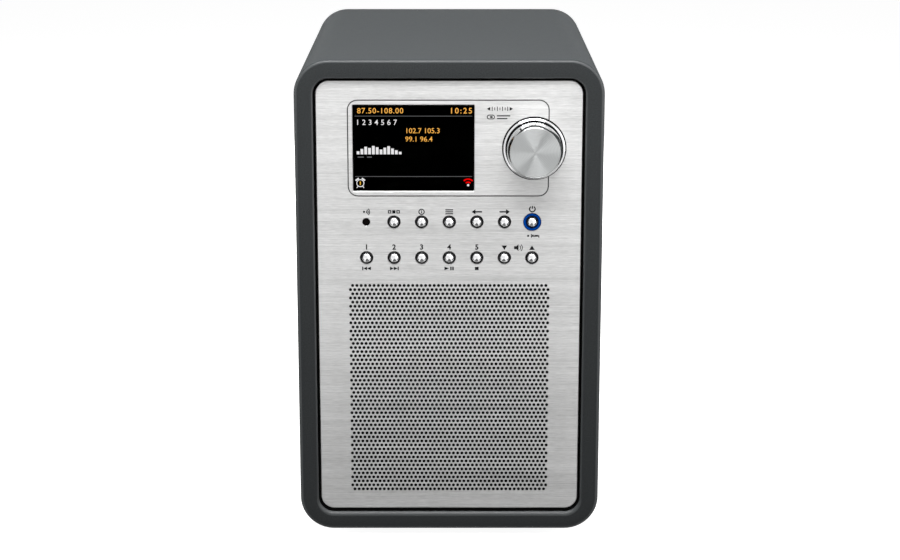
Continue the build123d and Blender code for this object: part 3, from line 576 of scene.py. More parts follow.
def groove_outline():
    """The engraved line round display and knob: a band that ends under the knob's ring."""
    width, margin, corner = 0.45, 2.1, 4.0
    left, right, reach = -39.6, 38.85, 12.3
    z0, z1 = WINDOW[1] - margin, WINDOW[3] + margin
    outer = rounded(left, z0, right, z1, corner)
    inner = rounded(left + width, z0 + width, right - width, z1 - width, corner - width)

    def ends(edge):
        rise = sqrt(reach ** 2 - (edge - KNOB_X) ** 2)
        return (edge, KNOB_Z + rise), (edge, KNOB_Z - rise)

    out_top, out_bottom = ends(right)
    in_top, in_bottom = ends(right - width)
    return [out_top] + outer + [out_bottom, in_bottom] + inner[::-1] + [in_top]


def panel():
    """The plate with every hole of the perforation, small chamfers, and the engraved line."""
    edge, window_edge, hole_edge, groove_depth = 0.3, 0.22, 0.12, 0.25
    knob_hole, infrared_hole, ring_hole, button_hole, hole_points = 12.0, 1.5, 3.5, 2.55, 12
    flat_look, groove_look, painted_shade_hole_look = 0, 1, 2

    def plate_loops(plate_inset, window_outset, corner, hole_outset):
        x0, z0, x1, z1 = WINDOW
        loops = [rounded(PANEL_LOW.x + plate_inset, PANEL_LOW.z + plate_inset, PANEL_HIGH.x - plate_inset,
                         PANEL_HIGH.z - plate_inset, PANEL_CORNER - plate_inset, 10),
                 rounded(x0 - window_outset, z0 - window_outset, x1 + window_outset, z1 + window_outset,
                         corner, 3)]
        loops.append(circle(KNOB_X, KNOB_Z, knob_hole + hole_outset, 64))
        loops.append(circle(*middle("ir_window"), infrared_hole + hole_outset, 24))
        for name in BUTTONS:
            radius = ring_hole if name == "power" else button_hole
            loops.append(circle(*AT[name], radius + hole_outset, 36))
        return loops

    front = plate_loops(edge, window_edge, 0.45, hole_edge)
    wall = plate_loops(0, 0, 0.25, 0)
    groove = groove_outline()
    places, radius = grille_holes()
    small = [circle(x, z, radius, hole_points) for x, z in places]
    front_faces, front_owner = triangles(front + [groove] + small)
    back_faces, back_owner = triangles(wall + small)
    groove_number = len(front)
    verts, faces, indices = [], [], []

    def lay(loops, depth):
        """Adds the loops' points at a depth and tells where each loop starts."""
        starts = []
        for loop in loops:
            starts.append(len(verts))
            verts.extend((x, depth, z) for x, z in loop)
        return starts

    def add(face, index):
        faces.append(face)
        indices.append(index)

    def band(ones, twos, count, flip, index):
        for i in range(count):
            j = (i + 1) % count
            face = [ones + j, ones + i, twos + i, twos + j]
            add(face[::-1] if flip else face, index)

    front_start = lay(front + [groove] + small, PANEL_FRONT)
    groove_start = front_start[groove_number]
    drop = lay([groove], PANEL_FRONT + groove_depth)[0] - groove_start
    for face in front_faces:
        owners = {front_owner[i] for i in face}
        if len(owners) > 1 or 0 in owners:
            add(face, flat_look)
        elif groove_number in owners:
            centre = [sum(verts[i][k] for i in face) / 3 for k in (0, 2)]
            if inside(centre, groove):
                add([i + drop for i in face], groove_look)
            else:
                add(face, flat_look)
    band(groove_start, groove_start + drop, len(groove), False, groove_look)

    back_start = lay(wall + small, PANEL_BACK)
    for face in back_faces:
        owners = {back_owner[i] for i in face}
        if len(owners) > 1 or 0 in owners:
            add([back_start[0] + i for i in face[::-1]], flat_look)
    for k, loop in enumerate(wall):
        chamfer = {0: edge, 1: window_edge}.get(k, hole_edge)
        mid = lay([loop], PANEL_FRONT + chamfer)[0]
        band(front_start[k], mid, len(loop), k != 0, flat_look)
        band(mid, back_start[k], len(loop), k != 0, flat_look)
    for k in range(len(small)):
        band(front_start[groove_number + 1 + k], back_start[len(wall) + k], hole_points, True, painted_shade_hole_look)

    groove_paint = grained("groove_paint", (0.05, 0.05, 0.05), 0.5, 0.5, 0.2, 0.01)
    # painted shade: the perforation's hole walls are near black, standing in for the shade inside the holes
    painted_shade_hole_wall = grained("painted_shade_hole_wall", (0.008, 0.008, 0.008), 0, 0.7, 0.2, 0.01, 0.05)
    made = thing("panel_plate", (verts, faces), "panel_aluminium", also=[groove_paint, painted_shade_hole_wall],
                 indices=indices)
    span = 100.0
    uv = []
    for poly in made.data.polygons:
        for i in poly.vertices:
            uv += [verts[i][0] / span + 0.5, verts[i][2] / span]
    made.data.uv_layers.new(name="along").data.foreach_set("uv", uv)
    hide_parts("front_panel")


def panel_seal():
    """A dark rubber lip that fills the gap between the plate and the cabinet's wall; its black is painted
    shade for the shadow in that gap.
    """
    gap, stand, steps = 0.03, 0.9, 12
    front, back = PANEL_FRONT - stand, PANEL_BACK
    wall = CABINET_WALL + gap
    edge = PANEL_LOW.x - CAB_LOW.x - gap
    section = [(wall, back), (wall, front + 0.3), (wall + 0.1, front), (edge - 0.25, front + 0.35),
               (edge, PANEL_FRONT - 0.05), (edge, back)]
    verts = [(x, y, z) for inset, y in section for x, z in cabinet_loop(inset, steps)]
    faces = hoop_faces(len(section), 4 * (steps + 1))
    # painted shade: a near-black lip where the gap's shadow falls
    thing("panel_seal", (verts, faces), "foot_rubber", seal_rubber(), smooth=30)


# -------- printed symbols

INK_DEPTH = 0.03


def plates(shapes, front):
    """Thin solids for flat shapes, printed or lit."""
    return [prism(shape, front, front + INK_DEPTH) for shape in shapes]


def stroke(points, width, closed=False):
    """A line of constant width: a rectangle for each run, a little longer than it at both ends."""
    shapes = []
    overlap = 0.3 * width
    ends = points[1:] + points[:1] if closed else points[1:]
    for (x1, z1), (x2, z2) in zip(points, ends):
        length = hypot(x2 - x1, z2 - z1)
        dx, dz = (x2 - x1) / length, (z2 - z1) / length
        nx, nz = -dz * width / 2, dx * width / 2
        ex, ez = dx * overlap, dz * overlap
        shapes.append([(x1 - ex + nx, z1 - ez + nz), (x1 - ex - nx, z1 - ez - nz),
                       (x2 + ex - nx, z2 + ez - nz), (x2 + ex + nx, z2 + ez + nz)])
    return shapes


def bar(x, z, width, height):
    """A filled rectangle about x, z."""
    left, right, low, high = x - width / 2, x + width / 2, z - height / 2, z + height / 2
    return [[(left, low), (right, low), (right, high), (left, high)]]


def triangle(x, z, width, height, way):
    """A filled triangle: way is (1, 0) for right, (-1, 0) for left, (0, 1) for up, (0, -1) for down."""
    wx, wz = way
    if wx:
        tip, base = x + wx * width / 2, x - wx * width / 2
        return [[(tip, z), (base, z + height / 2), (base, z - height / 2)]]
    tip, base = z + wz * height / 2, z - wz * height / 2
    return [[(x, tip), (x - width / 2, base), (x + width / 2, base)]]


def moved(shapes, x, z, scale):
    return [[(px * scale + x, pz * scale + z) for px, pz in shape] for shape in shapes]


def text_mesh(body, size, x, z, front, align="CENTER", bold=0.0, spacing=1.0):
    """Digits as points and faces. Their middle, left end or right end is at x, as align says."""
    curve = bpy.data.curves.new("text", "FONT")
    curve.body = body
    curve.size = size
    curve.align_x = align
    curve.align_y = "CENTER"
    curve.extrude = INK_DEPTH / 2
    curve.offset = bold
    curve.space_character = spacing
    curve.resolution_u = 3
    holder = added("text", curve)
    bpy.context.view_layer.update()
    mesh = bpy.data.meshes.new_from_object(holder)
    verts = [(v.co.x + x, front + INK_DEPTH / 2 - v.co.z, v.co.y + z) for v in mesh.vertices]
    faces = [list(p.vertices) for p in mesh.polygons]
    bpy.data.objects.remove(holder)
    bpy.data.meshes.remove(mesh)
    bpy.data.curves.remove(curve)
    return verts, faces


def power_symbol(x, z, radius, width):
    """A ring that is open at the top, with a bar in the gap."""
    half_gap = 38
    ring = arc(x, z, radius, 90 + half_gap, 450 - half_gap, 20)
    return stroke(ring, width) + bar(x, z + radius * 0.62, width, radius)


def speaker_symbol(x, z, size):
    """A loudspeaker from the side with two sound waves."""
    shapes = [[(-0.55, -0.2), (-0.25, -0.2), (-0.25, 0.2), (-0.55, 0.2)],
              [(-0.25, -0.2), (0.05, -0.48), (0.05, 0.48), (-0.25, 0.2)]]
    for radius, steps in ((0.38, 6), (0.62, 8)):
        shapes += stroke(arc(-0.05, 0, radius, -42, 42, steps), 0.1)
    return moved(shapes, x, z, size)


def button_signs():
    """The signs over the upper buttons: squares, info, list, and arrows back and on."""
    signs = {"mode": bar(0, 0, 1.1, 1.1), "menu": [bar(0, z, 2.6, 0.38)[0] for z in (-0.68, 0, 0.68)]}
    for x in (-1.45, 1.45):
        signs["mode"] += stroke(bar(x, 0, 0.84, 0.84)[0], 0.32, True)
    signs["info"] = stroke(circle(0, 0, 0.9, 24), 0.34, True) + bar(0, -0.16, 0.36, 0.66)
    signs["info"] += bar(0, 0.4, 0.36, 0.26)
    for name, way in (("back", -1), ("forward", 1)):
        signs[name] = bar(-way * 0.55, 0, 2.4, 0.46) + triangle(way * 1.15, 0, 1.3, 1.8, (way, 0))
    return signs


def transport_signs():
    """The signs under four preset buttons: to the start, to the end, play and pause, stop."""
    tall, wide = 1.1, 1.15
    signs = {"preset_4": triangle(-0.75, 0, 1.4, tall, (1, 0)), "preset_5": bar(0, 0, 1.15, 1.0)}
    for x in (0.5, 1.15):
        signs["preset_4"] += bar(x, 0, 0.42, tall)
    for name, way in (("preset_1", -1), ("preset_2", 1)):
        signs[name] = bar(way * 1.2, 0, 0.34, tall)
        for x in (-0.45, 0.7):
            signs[name] += triangle(-way * x, 0, wide, tall, (way, 0))
    return signs


def panel_print():
    """Symbols and digits printed in black on the panel."""
    front = PANEL_FRONT - 0.02
    above, below, power_above, power_below, digits_above = 4.05, 4.35, 5.15, 5.6, 4.2
    dot = 0.42
    shapes = []
    for signs, up, scale in ((button_signs(), above, 1.15), (transport_signs(), -below, 1.3)):
        for name, sign in signs.items():
            x, z = AT[name]
            shapes += moved(sign, x, z + up, scale)

    x, z = AT["power"]
    shapes += power_symbol(x, z + power_above, 1.1, 0.46)
    bed = bar(0.2, -0.14, 2.6, 0.26) + bar(-1.05, 0, 0.26, 1.2) + bar(1.4, -0.2, 0.26, 0.9)
    bed += bar(-0.55, 0.2, 0.6, 0.36) + bar(0.55, 0.14, 1.3, 0.3)
    shapes += moved(bed, x + 1.0, z - power_below, 1.2) + [circle(x - 1.55, z - power_below, dot, 12)]
    x, z = middle("ir_window")
    for radius in (0.55, 1.1, 1.65):
        shapes += stroke(arc(x - 0.3, z + above, radius, -44, 44, 8), 0.32)
    shapes += [circle(x - 0.85, z + above, dot, 12)]
    for name, way in (("volume_down", -1), ("volume_up", 1)):
        x, z = AT[name]
        shapes += triangle(x, z + above, 2.2, 1.75, (0, way))
    x, z = AT["volume_down"]
    shapes += speaker_symbol((x + AT["volume_up"][0]) / 2, z + above, 2.9)

    x, scale_z, select_z = 19.6, LENS_HIGH.z - 3.7, LENS_HIGH.z - 6.9
    for way in (-1, 1):
        shapes += triangle(x + way * 4.4, scale_z, 1.3, 1.5, (way, 0))
    for k in range(-3, 4):
        shapes += bar(x + k, scale_z, 0.3, 1.7 if k % 2 else 1.1)
    shapes += stroke(rounded(x - 4.9, select_z - 0.75, x - 2.1, select_z + 0.75, 0.7, 4), 0.32, True)
    shapes += bar(x - 3.3, select_z, 1.0, 0.7)
    shapes += bar(x + 1.4, select_z + 0.45, 5.2, 0.45) + bar(x + 0.9, select_z - 0.6, 4.0, 0.45)
    parts = plates(shapes, front)
    for k in range(1, 6):
        x, z = AT["preset_%d" % k]
        parts.append(text_mesh(str(k), 2.85, x, z + digits_above, front, bold=0.1))
    thing("panel_print", joined(parts), "component_plastic", print_ink("print_ink", (0.008, 0.008, 0.009)))


# -------- display


def display():
    """What the display shows: digits, level bars, lines, an alarm clock and a signal sign, all lit."""
    front = place("lcd_module")[0].y - 0.06
    x0, z0, x1, z1 = WINDOW

    def lit(name, colour, strength, parts):
        thing("display_" + name, joined(parts), "led", emitter("lit_" + name, colour, strength))

    def digits(body, size, x, down, bold=0.01, spacing=1.0, align="LEFT"):
        """Digits whose middle is down below the window's top."""
        return text_mesh(body, size, x, z1 - down, front, align, bold, spacing)

    amber = [digits("87.50-108.00", 3.05, x0 + 1.7, 2.75, 0.02, 1.12),
             digits("10:25", 3.15, x1 - 0.7, 2.75, 0.03, 1.3, "RIGHT"),
             digits("102.7 105.3", 2.9, x0 + 20.3, 10.6),
             digits("99.1 96.4", 2.9, x0 + 20.3, 13.9)]
    lit("amber", (1.0, 0.50, 0.09), 0.95, amber)

    centre_x, wide, thin, dash_z = (x0 + x1) / 2, x1 - x0 - 1.5, 0.22, z1 - 20.9
    lines = bar(centre_x, z1 - 4.75, wide, thin) + bar(centre_x, z0 + 5.4, wide, thin)
    lines += bar(x0 + 3.0, dash_z, 2.4, 0.45) + bar(x0 + 6.4, dash_z, 1.9, 0.45)
    lit("lines", (0.14, 0.145, 0.15), 0.8, plates(lines, front))

    levels = (1.2, 2.1, 3.0, 2.5, 3.3, 2.8, 1.9, 2.6, 3.2, 2.3, 1.6, 1.0)
    level_x, level_foot, level_pitch, level_width = x0 + 2.0, z1 - 19.8, 1.49, 1.08
    shapes = []
    for k, height in enumerate(levels):
        shapes += bar(level_x + k * level_pitch, level_foot + height / 2, level_width, height)
    alarm_x, alarm_z = x0 + 2.75, z0 + 2.75
    shapes += stroke(circle(alarm_x, alarm_z, 1.4, 24), 0.3, True)
    for side in (-1, 1):
        bell = [(alarm_x + side * 0.75, alarm_z + 1.85), (alarm_x + side * 1.7, alarm_z + 1.15)]
        leg = [(alarm_x + side * 0.9, alarm_z - 1.2), (alarm_x + side * 1.35, alarm_z - 1.8)]
        shapes += stroke(bell, 0.6) + stroke(leg, 0.3)
    signal_x, signal_z = x1 - 2.3, z0 + 1.95
    shapes += [circle(signal_x, signal_z, 0.45, 12)]
    white = [digits("1 2 3 4 5 6 7", 3.0, x0 + 1.2, 7.3, spacing=1.03)] + plates(shapes, front)
    lit("white", (0.9, 0.9, 0.9), 0.95, white)

    hand = bar(alarm_x, alarm_z + 0.2, 0.4, 0.9) + bar(alarm_x, alarm_z - 0.55, 0.4, 0.35)
    lit("alarm_hand", (1.0, 0.55, 0.05), 0.9, plates(hand, front))
    waves = stroke(arc(signal_x, signal_z, 1.2, 50, 130, 8), 0.5)
    waves += stroke(arc(signal_x, signal_z, 2.4, 48, 132, 10), 0.5)
    lit("signal", (1.0, 0.0, 0.0), 0.95, plates(waves, front))


# -------- knob and buttons

KNOB_RADIUS = 10.75
KNOB_BEVEL, KNOB_BEVEL_DEPTH = 0.95, 2.0
KNOB_FACE_RADIUS = KNOB_RADIUS - KNOB_BEVEL
KNOB_SEGMENTS = 144


def turned(profile, front=0.0):
    """Points (radius, depth behind front) turned about the knob's axis."""
    return lathe([(radius, front + depth) for radius, depth in profile], KNOB_X, KNOB_Z, KNOB_SEGMENTS)


def knob():
    """The turned knob: a cup with a bevel, and the spun face let into it."""
    inlay, turn, back = 0.8, 0.15, PANEL_FRONT + 0.8 - KNOB_FRONT
    recess, skirt, ceiling = KNOB_FACE_RADIUS - 0.17, KNOB_RADIUS - 1.6, 2.4
    hub, hub_back, bore, bore_end = 4.8, 6.5, 3.05, 2.0
    profile = [(0, inlay), (recess, inlay), (recess, 0.06), (KNOB_FACE_RADIUS - 0.12, 0),
               (KNOB_FACE_RADIUS - 0.04, 0), (KNOB_FACE_RADIUS, 0.05)]
    profile += arc(KNOB_RADIUS - turn, KNOB_BEVEL_DEPTH, turn, -26, 0, 4)
    profile += [(KNOB_RADIUS, back - turn), (KNOB_RADIUS - turn, back), (skirt, back), (skirt, ceiling),
                (hub, ceiling), (hub, hub_back), (bore, hub_back), (bore, bore_end), (0, bore_end)]
    cup = thing("knob_cup", turned(profile, KNOB_FRONT), "knob_metal", body="tuning_knob", smooth=30)
    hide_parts("knob_shell")

    rim, sunk, seat = KNOB_FACE_RADIUS - 0.18, 0.02, inlay - 0.01
    disc = [(rim * share, sunk) for share in (0, 0.33, 0.66)]
    disc += [(rim - 0.12, sunk), (rim, 0.12), (rim, seat), (0, seat)]
    face = thing("knob_disc", turned(disc, KNOB_FRONT), "knob_spun", body="tuning_knob", smooth=30)
    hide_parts("knob_face")


def knob_index():
    """The black line down the knob's bevel."""
    angle, half, sink, rise, steps = radians(32), 0.36, 0.1, 0.16, 6
    verts, faces = [], []
    for k in range(steps + 1):
        radius = KNOB_FACE_RADIUS - 0.02 + KNOB_BEVEL * k / steps
        y = KNOB_FRONT + 0.1 + (KNOB_BEVEL_DEPTH - 0.2) * k / steps
        for side in (-half, half):
            for out in (radius - sink, radius + rise):
                verts.append((KNOB_X + side * cos(angle) - out * sin(angle), y,
                              KNOB_Z + side * sin(angle) + out * cos(angle)))
    end = 4 * steps
    for a in range(0, end, 4):
        b = a + 4
        faces += [[a, a + 2, b + 2, b], [a + 1, b + 1, b + 3, a + 3]]
        faces += [[a, b, b + 1, a + 1], [a + 2, a + 3, b + 3, b + 2]]
    faces += [[0, 1, 3, 2], [end, end + 2, end + 3, end + 1]]
    ink = print_ink("index_ink", (0.01, 0.01, 0.01))
    thing("knob_index", (verts, faces), "component_plastic", ink, body="tuning_knob")


def knob_ring():
    """The bright ring round the knob, its inner wall black as painted shade, and a black seal under its rim
    as a painted shadow line.
    """
    low, high = place("knob_escutcheon")
    rim, inner, tail, rim_turn, inner_turn = (high.x - low.x) / 2 - 0.5, 11.15, 11.98, 0.5, 0.3
    ring = [(tail, high.y), (tail, PANEL_FRONT), (rim, PANEL_FRONT)]
    ring += arc(rim - rim_turn, low.y + rim_turn, rim_turn, 0, -90, 8)
    ring += arc(inner + inner_turn, low.y + inner_turn, inner_turn, -90, -180, 6)
    bright = (len(ring) - 2) * KNOB_SEGMENTS
    ring += [(inner, high.y), (tail, high.y)]
    shape = turned(ring)
    # the last turn of the inner arc, the inner wall and the back are black: painted shade
    chrome_then_painted_shade = [0] * bright + [1] * (len(shape[1]) - bright)

    # a black ring under the bezel's rim: painted shadow line round the ring
    start, end, top, foot = rim - 0.4, rim + 0.45, PANEL_FRONT - 0.12, PANEL_FRONT + 0.02
    gasket = [(start, foot), (start, top), (end, top), (end, foot), (start, foot)]
    thing("knob_gasket", turned(gasket), "foot_rubber", seal_rubber(), smooth=30)
    bezel = thing("knob_bezel", shape, "chrome_trim", also=[seal_rubber()], smooth=30, indices=chrome_then_painted_shade)
    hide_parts("knob_escutcheon")


def buttons():
    """Thirteen caps: a black collar round a bright dome, with flange and stem behind. The collar's black is
    painted shade for the dark gap round each dome.
    """
    # painted shade: the collar round each dome is near black
    painted_shade_collar = grained("button_collar_painted_shade", (0.008, 0.008, 0.009), 0, 0.4, 0.3, 0.008, 0.15)
    dome_edge, dome_rise, dome_wall = 1.72, 0.8, 1.74
    radius, chamfer, reveal, flange_width, flange_depth, stem_width = 2.15, 0.25, 1.0, 6.0, 0.8, 2.8
    sphere = (dome_edge ** 2 + dome_rise ** 2) / (2 * dome_rise)
    span = degrees(acos((sphere - dome_rise) / sphere))
    for name in BUTTONS:
        x, z = AT[name]
        low, high = place("button_" + name)
        crown, shoulder = low.y, low.y + reveal
        flange = place("front_baffle")[0].y + (3.85 if name == "power" else 3.05)
        dome = [(0, crown)] + arc(0, crown + sphere, sphere, -90, span - 90, 10)[1:] + [(dome_wall, shoulder)]
        side = [(dome_wall, shoulder), (radius - chamfer, shoulder), (radius, shoulder + chamfer),
                (radius, flange), (0, flange)]
        parts = [lathe(dome, x, z, 40), lathe(side, x, z, 40),
                 prism(bar(x, z, flange_width, flange_width)[0], flange, flange + flange_depth),
                 prism(bar(x, z, stem_width, stem_width)[0], flange + flange_depth, high.y)]
        shape = joined(parts)
        bright = len(parts[0][1])
        indices = [0] * bright + [1] * (len(shape[1]) - bright)
        cap = thing("cap_" + name, shape, "chrome_trim", also=[painted_shade_collar], body=name + "_button", smooth=35,
                    indices=indices)
        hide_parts("button_" + name)


# -------- back and underside


def cross_screw(x, z, low, high, head):
    """A pan head screw along Y, its domed head at the back with a cross recess that tapers inwards."""
    shank, tip, head_height, flat, segments = 1.45, 0.3, 2.0, 1.95, 48
    slot, arm, recess_depth, taper = 0.38, 1.35, 1.1, 0.6
    seat = high - head_height
    profile = [(0, low), (shank - tip, low), (shank, low + tip), (shank, seat), (head - 0.15, seat),
               (head, seat + 0.2), (head - 0.05, high - 0.9), (head - 0.3, high - 0.35), (flat, high)]
    verts, faces = lathe(profile, x, z, segments)
    cross, quarter = [], [(slot, arm), (slot, slot), (arm, slot)]
    for _ in range(4):
        cross += quarter
        quarter = [(b, -a) for a, b in quarter]
    n, base = len(cross), len(verts)
    rim = base - segments
    recess = [(x + a, z + b) for a, b in cross]
    made, owner = triangles([[(a, b) for a, _, b in verts[rim:]], recess])
    faces += [[rim + i for i in face] for face in made if any(owner[i] == 0 for i in face)]
    verts += [(a, high, b) for a, b in recess]
    verts += [(x + a * taper, high - recess_depth, z + b * taper) for a, b in cross]
    faces += [[base + i, base + (i + 1) % n, base + n + (i + 1) % n, base + n + i] for i in range(n)]
    faces.append(list(range(base + n, base + 2 * n)))
    return verts, faces


def rear_screws():
    low, high = place("rear_screws")
    head = 2.75
    parts = []
    for x in (low.x + head, high.x - head):
        for z in (low.z + head, high.z - head):
            parts.append(cross_screw(x, z, low.y, high.y, head))
    made = thing("rear_cross_screws", joined(parts), "steel", smooth=35)
    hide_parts("rear_screws")


def port():
    """The bass port with a smooth flare."""
    x, z = middle("port_tube")
    front, mouth = (corner.y for corner in place("port_tube"))
    bore, wall, flare, lip, lip_turn, flange = 15.0, 2.5, 4.0, 2.0, 0.6, 1.8
    out = bore + flare + lip
    profile = [(bore, front), (bore, mouth - flare)]
    profile += arc(bore + flare, mouth - flare, flare, 180, 90, 14)[1:]
    profile += arc(out - lip_turn, mouth - lip_turn, lip_turn, 90, 0, 5)
    profile += [(out, mouth - flange), (bore + wall, mouth - flange), (bore + wall, front), (bore, front)]
    made = thing("port_flare", lathe(profile, x, z), "black_plastic", smooth=35)
    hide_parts("port_tube")


def aerial():
    """The aerial socket with its thread, nut, hexagon flange and pale insulator."""
    x, z = middle("aerial_socket")
    low, high = place("aerial_socket")
    radius, thread_depth, neck, core, lead, pitch, lead_in = 4.7, 0.35, 4.0, 3.5, 2.0, 0.8, 0.3
    nut_front, nut_back, flange_back = COVER_BACK - 6.0, COVER_BACK - 3.0, COVER_BACK + 2.0
    start, tip = flange_back + 0.5, high.y
    root, first, recess = radius - thread_depth, start + lead_in, tip - 0.6
    profile = [(0, low.y), (lead, low.y), (lead, nut_front), (neck, nut_front), (neck, start), (root, start)]
    for k in range(int((tip - first) / pitch)):
        profile += [(radius, first + (k + 0.3) * pitch), (root, first + (k + 0.9) * pitch)]
    profile += [(radius - 0.1, tip - 0.1), (radius - 0.2, tip), (core, tip), (core, recess), (0, recess)]
    hexagon = circle(x, z, 7.27, 6)
    parts = [lathe(profile, x, z, 64), prism(hexagon, COVER_BACK, flange_back),
             prism(hexagon, nut_front, nut_back)]
    made = thing("aerial_body", joined(parts), "steel", smooth=35)
    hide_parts("aerial_socket")

    hole, edge, bottom, top = 0.55, core - 0.05, tip - 3.0, tip - 0.3
    insulator = [(hole, bottom), (edge, bottom), (edge, tip - 0.45), (core - 0.3, top), (0.9, top),
                 (hole, recess), (hole, bottom)]
    white = grained("insulator", (0.72, 0.71, 0.68), 0, 0.4, 0.3, 0.01, spread=0.04)
    thing("aerial_core", lathe(insulator, x, z, 48), "component_plastic", white, smooth=35)


def feet():
    """Four rubber feet with a rounded tread and a groove."""
    low, high = place("rubber_feet")
    radius, height, tread, tread_turn = 6.0, 2.5, 4.6, 0.55
    profile = [(0, 0.0), (tread, 0.0)] + arc(tread, tread_turn, tread_turn, -90, -10, 4)
    profile += [(5.6, 1.3), (5.45, 1.5), (5.8, 1.7), (radius, height), (0, height)]
    verts, faces = lathe(profile, 0, 0, 64)
    parts = []
    for x in (low.x + radius, high.x - radius):
        for y in (low.y + radius, high.y - radius):
            parts.append(([(x + a, y + b, low.z + up) for a, up, b in verts], faces))
    made = thing("foot_treads", joined(parts), "foot_rubber", smooth=35)
    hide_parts("rubber_feet")


def rear_print():
    """Plain symbols by the sockets, printed in grey: in, out, headphones, direct current and aerial."""
    low, high = place("audio_sockets")
    bay_depth, sink, jack_inset = 0.8, 0.01, 3.5
    z = high.z + 0.6
    shapes = []
    for x, way, start in ((low.x + jack_inset, -1, -140), ((low.x + high.x) / 2, 1, 40)):
        shapes += bar(x, z, 1.7, 0.22) + triangle(x + way * 1.1, z, 0.8, 1.1, (way, 0))
        shapes += stroke(arc(x - way * 0.2, z, 1.0, start, start + 280, 14), 0.18)
    x = high.x - jack_inset
    shapes += stroke(arc(x, z - 0.25, 0.85, 0, 180, 12), 0.2)
    for side in (-0.85, 0.85):
        shapes += bar(x + side, z - 0.45, 0.45, 0.75)
    x = middle("dc_inlet")[0]
    shapes += bar(x, z + 1.0, 2.2, 0.2)
    for side in (-0.8, 0, 0.8):
        shapes += bar(x + side, z + 0.55, 0.5, 0.2)
    x, z = middle("aerial_socket")
    foot, fork, top = z + 9.0, z + 10.4, z + 12.0
    mast = stroke([(x, foot), (x, top)], 0.25)
    for side in (-1.3, 1.3):
        mast += stroke([(x, fork), (x + side, top)], 0.22)
    parts = plates(shapes, COVER_BACK - bay_depth - sink) + plates(mast, COVER_BACK - sink)
    ink = grained("rear_ink", (0.45, 0.45, 0.45), 0, 0.5, 0.12, 0.003)
    thing("rear_print", joined(parts), "component_plastic", ink)


# -------- light, floor and camera


def shade(name, cover):
    """A card that lets part of the white background through."""
    made = Material(name, (0.01, 0.01, 0.01), 0, 0.9, 0.0, Alpha=cover)
    made.vary_roughness(made.noise(20.0), 0.05)
    return made.mat


def graded():
    """A card that darkens towards the radio and is almost clear at its far edge: a painted shadow of the
    floor near the radio, seen only in reflections.
    """
    near_edge, fall, near_cover, growth = 0.08, 0.6, 0.46, 2.718
    made = Material("card_painted_shadow", (0.01, 0.01, 0.01), 0, 0.9, 0.0)
    where = made.node("SeparateXYZ", made.node("TexCoord").outputs["Object"])
    distance = made.math("DIVIDE", made.math("ADD", where.outputs["Y"], near_edge), fall)
    made.set(Alpha=made.math("MULTIPLY", made.math("POWER", growth, distance), near_cover))
    return made.mat


def by_ray(tree, spread, seen, out):
    """Mixes a shader for spreading light with one for camera, glossy and transmission rays."""
    path = node(tree, "LightPath").outputs
    share = path["Is Camera Ray"]
    for kind in ("Is Glossy Ray", "Is Transmission Ray"):
        share = node(tree, "Math", share, path[kind], operation="MAXIMUM").outputs[0]
    mix = node(tree, "MixShader", share, spread.outputs[0], seen.outputs[0])
    tree.links.new(mix.outputs[0], out.inputs["Surface"])


def floor_look():
    """Nearly white where it is seen, with the shadow on it, and dark to spreading light."""
    floor = Material("floor", (0.06, 0.06, 0.06), 0, 0.9)
    lift = floor.node("Emission", Color=(1, 1, 1, 1), Strength=0.94)
    shadowed = floor.node("BsdfDiffuse", Color=(0.4, 0.4, 0.4, 1))
    both = floor.node("AddShader", lift.outputs[0], shadowed.outputs[0])
    by_ray(floor.tree, floor.bsdf, both, floor.tree.nodes["Material Output"])
    return floor.mat


def studio():
    """A world that is white where it is seen and dim as a light."""
    world = bpy.data.worlds.new("studio")
    bpy.context.scene.world = world
    world.use_nodes = True
    tree = world.node_tree
    tree.nodes.clear()
    dim, white = (node(tree, "Background", Color=(1, 1, 1, 1), Strength=s) for s in (0.07, 1.0))
    by_ray(tree, dim, white, node(tree, "OutputWorld"))


def level(x0, y0, x1, y1, z):
    return [(x0, y0, z), (x1, y0, z), (x1, y1, z), (x0, y1, z)]


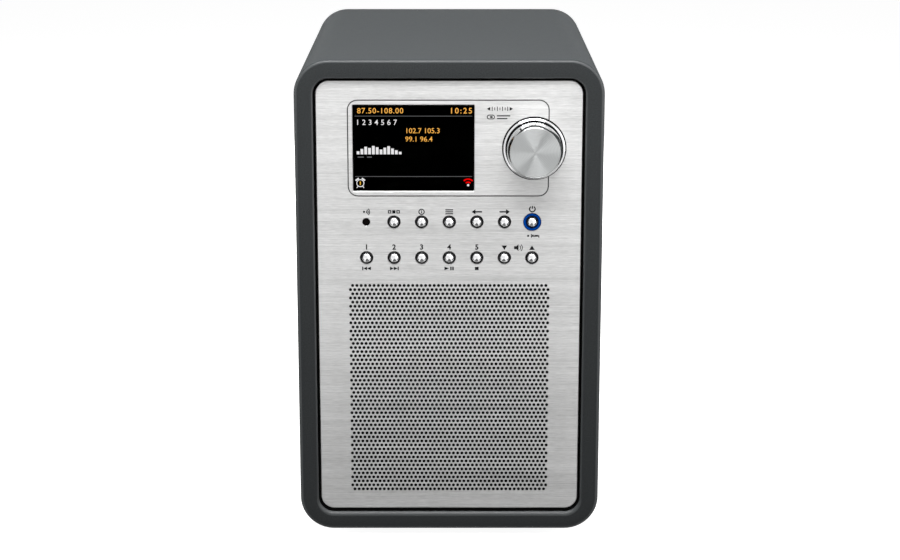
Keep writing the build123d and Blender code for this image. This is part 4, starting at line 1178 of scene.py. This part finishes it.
def stage():
    """A pale floor that keeps the shadow, dark cards, a white world, soft lamps and the camera."""

    black = grained("flag_black", (0.008, 0.008, 0.008), 0, 0.9, 2.0, 0.1, 0.0)

    def flag(name, corners, mat=black, seen=False):
        """A card that only reflections show, unless it is to be seen."""
        made = thing(name, (corners, [[0, 1, 2, 3]]), look=mat, body=None)
        made.visible_camera = made.visible_diffuse = made.visible_shadow = made.visible_transmission = seen

    half = 12000.0
    flag("floor", level(-half, -half, half, half, -0.02), floor_look(), seen=True)
    front, back, low, top = -150, 700, 2, 330
    for side, name in ((-1, "left"), (1, "right")):
        near, far = side * 130.0, side * 300.0
        flag("flag_" + name, [(far, front, low), (far, back, low), (far, back, top), (far, front, top)])
        flag("flag_floor_" + name, level(near, front, far, back, low))
    flag("flag_low", level(-72, -400, 72, -108, low), shade("shade_low", 0.87))
    flag("flag_near", level(-60, -107, 60, -79, low), shade("shade_near", 0.6))
    wide, away, high = 900, 900, 600
    flag("flag_back", [(-wide, away, 0), (wide, away, 0), (wide, away, high), (-wide, away, high)],
         shade("shade_back", 0.72))
    # painted shadow: the floor near the radio darkened in reflections
    flag("card_painted_shadow", level(-wide, -1800, wide, -80, 1.0), graded())
    studio()

    def softbox(name, where, target, size, power, diffuse=True, glossy=True):
        """A rectangular lamp that the camera doesn't see, in metres and watts."""
        lamp = bpy.data.lights.new(name, "AREA")
        lamp.shape = "RECTANGLE"
        lamp.size, lamp.size_y = size
        lamp.energy = power
        holder = added(name, lamp)
        holder.visible_camera = False
        holder.visible_diffuse, holder.visible_glossy = diffuse, glossy
        holder.location = where
        holder.rotation_euler = (Vector(target) - Vector(where)).to_track_quat("-Z", "Y").to_euler()

    softbox("key", (0.0, -0.32, 0.58), (0.0, -0.08, 0.12), (0.5, 0.16), 5.4)
    softbox("top", (0.0, 0.12, 0.75), (0.0, 0.0, 0.19), (0.6, 0.5), 3.8)
    softbox("sparkle", (0.51, -0.47, 0.22), (0.02, -0.08, 0.14), (0.5, 0.5), 1.8, diffuse=False)
    for name, x in (("left_side", -0.85), ("right_side", 0.85)):
        softbox(name, (x, 0.2, 0.24), (0.0, 0.0, 0.1), (0.5, 0.4), 8.0)
    softbox("rear", (0.0, 0.8, 0.24), (0.0, 0.08, 0.12), (0.8, 0.2), 10.0, glossy=False)

    aside, distance, height, tilt = 0.0003, 0.800, 0.3054, 14.13
    lens = bpy.data.cameras.new("camera")
    lens.sensor_width = 36.0
    lens.lens = 83.9
    lens.clip_start, lens.clip_end = 0.01, 100.0
    camera = added("camera", lens)
    camera.location = (aside, CAB_LOW.y * MM - distance, CAB_LOW.z * MM + height)
    camera.rotation_euler = (radians(90 - tilt), 0, 0)
    bpy.context.scene.camera = camera
    bpy.context.scene.view_settings.view_transform = "Standard"


LOOKS = dress_nodes()
cabinet()
panel()
panel_seal()
panel_print()
display()
knob()
knob_index()
knob_ring()
buttons()
rear_screws()
port()
aerial()
feet()
rear_print()
stage()
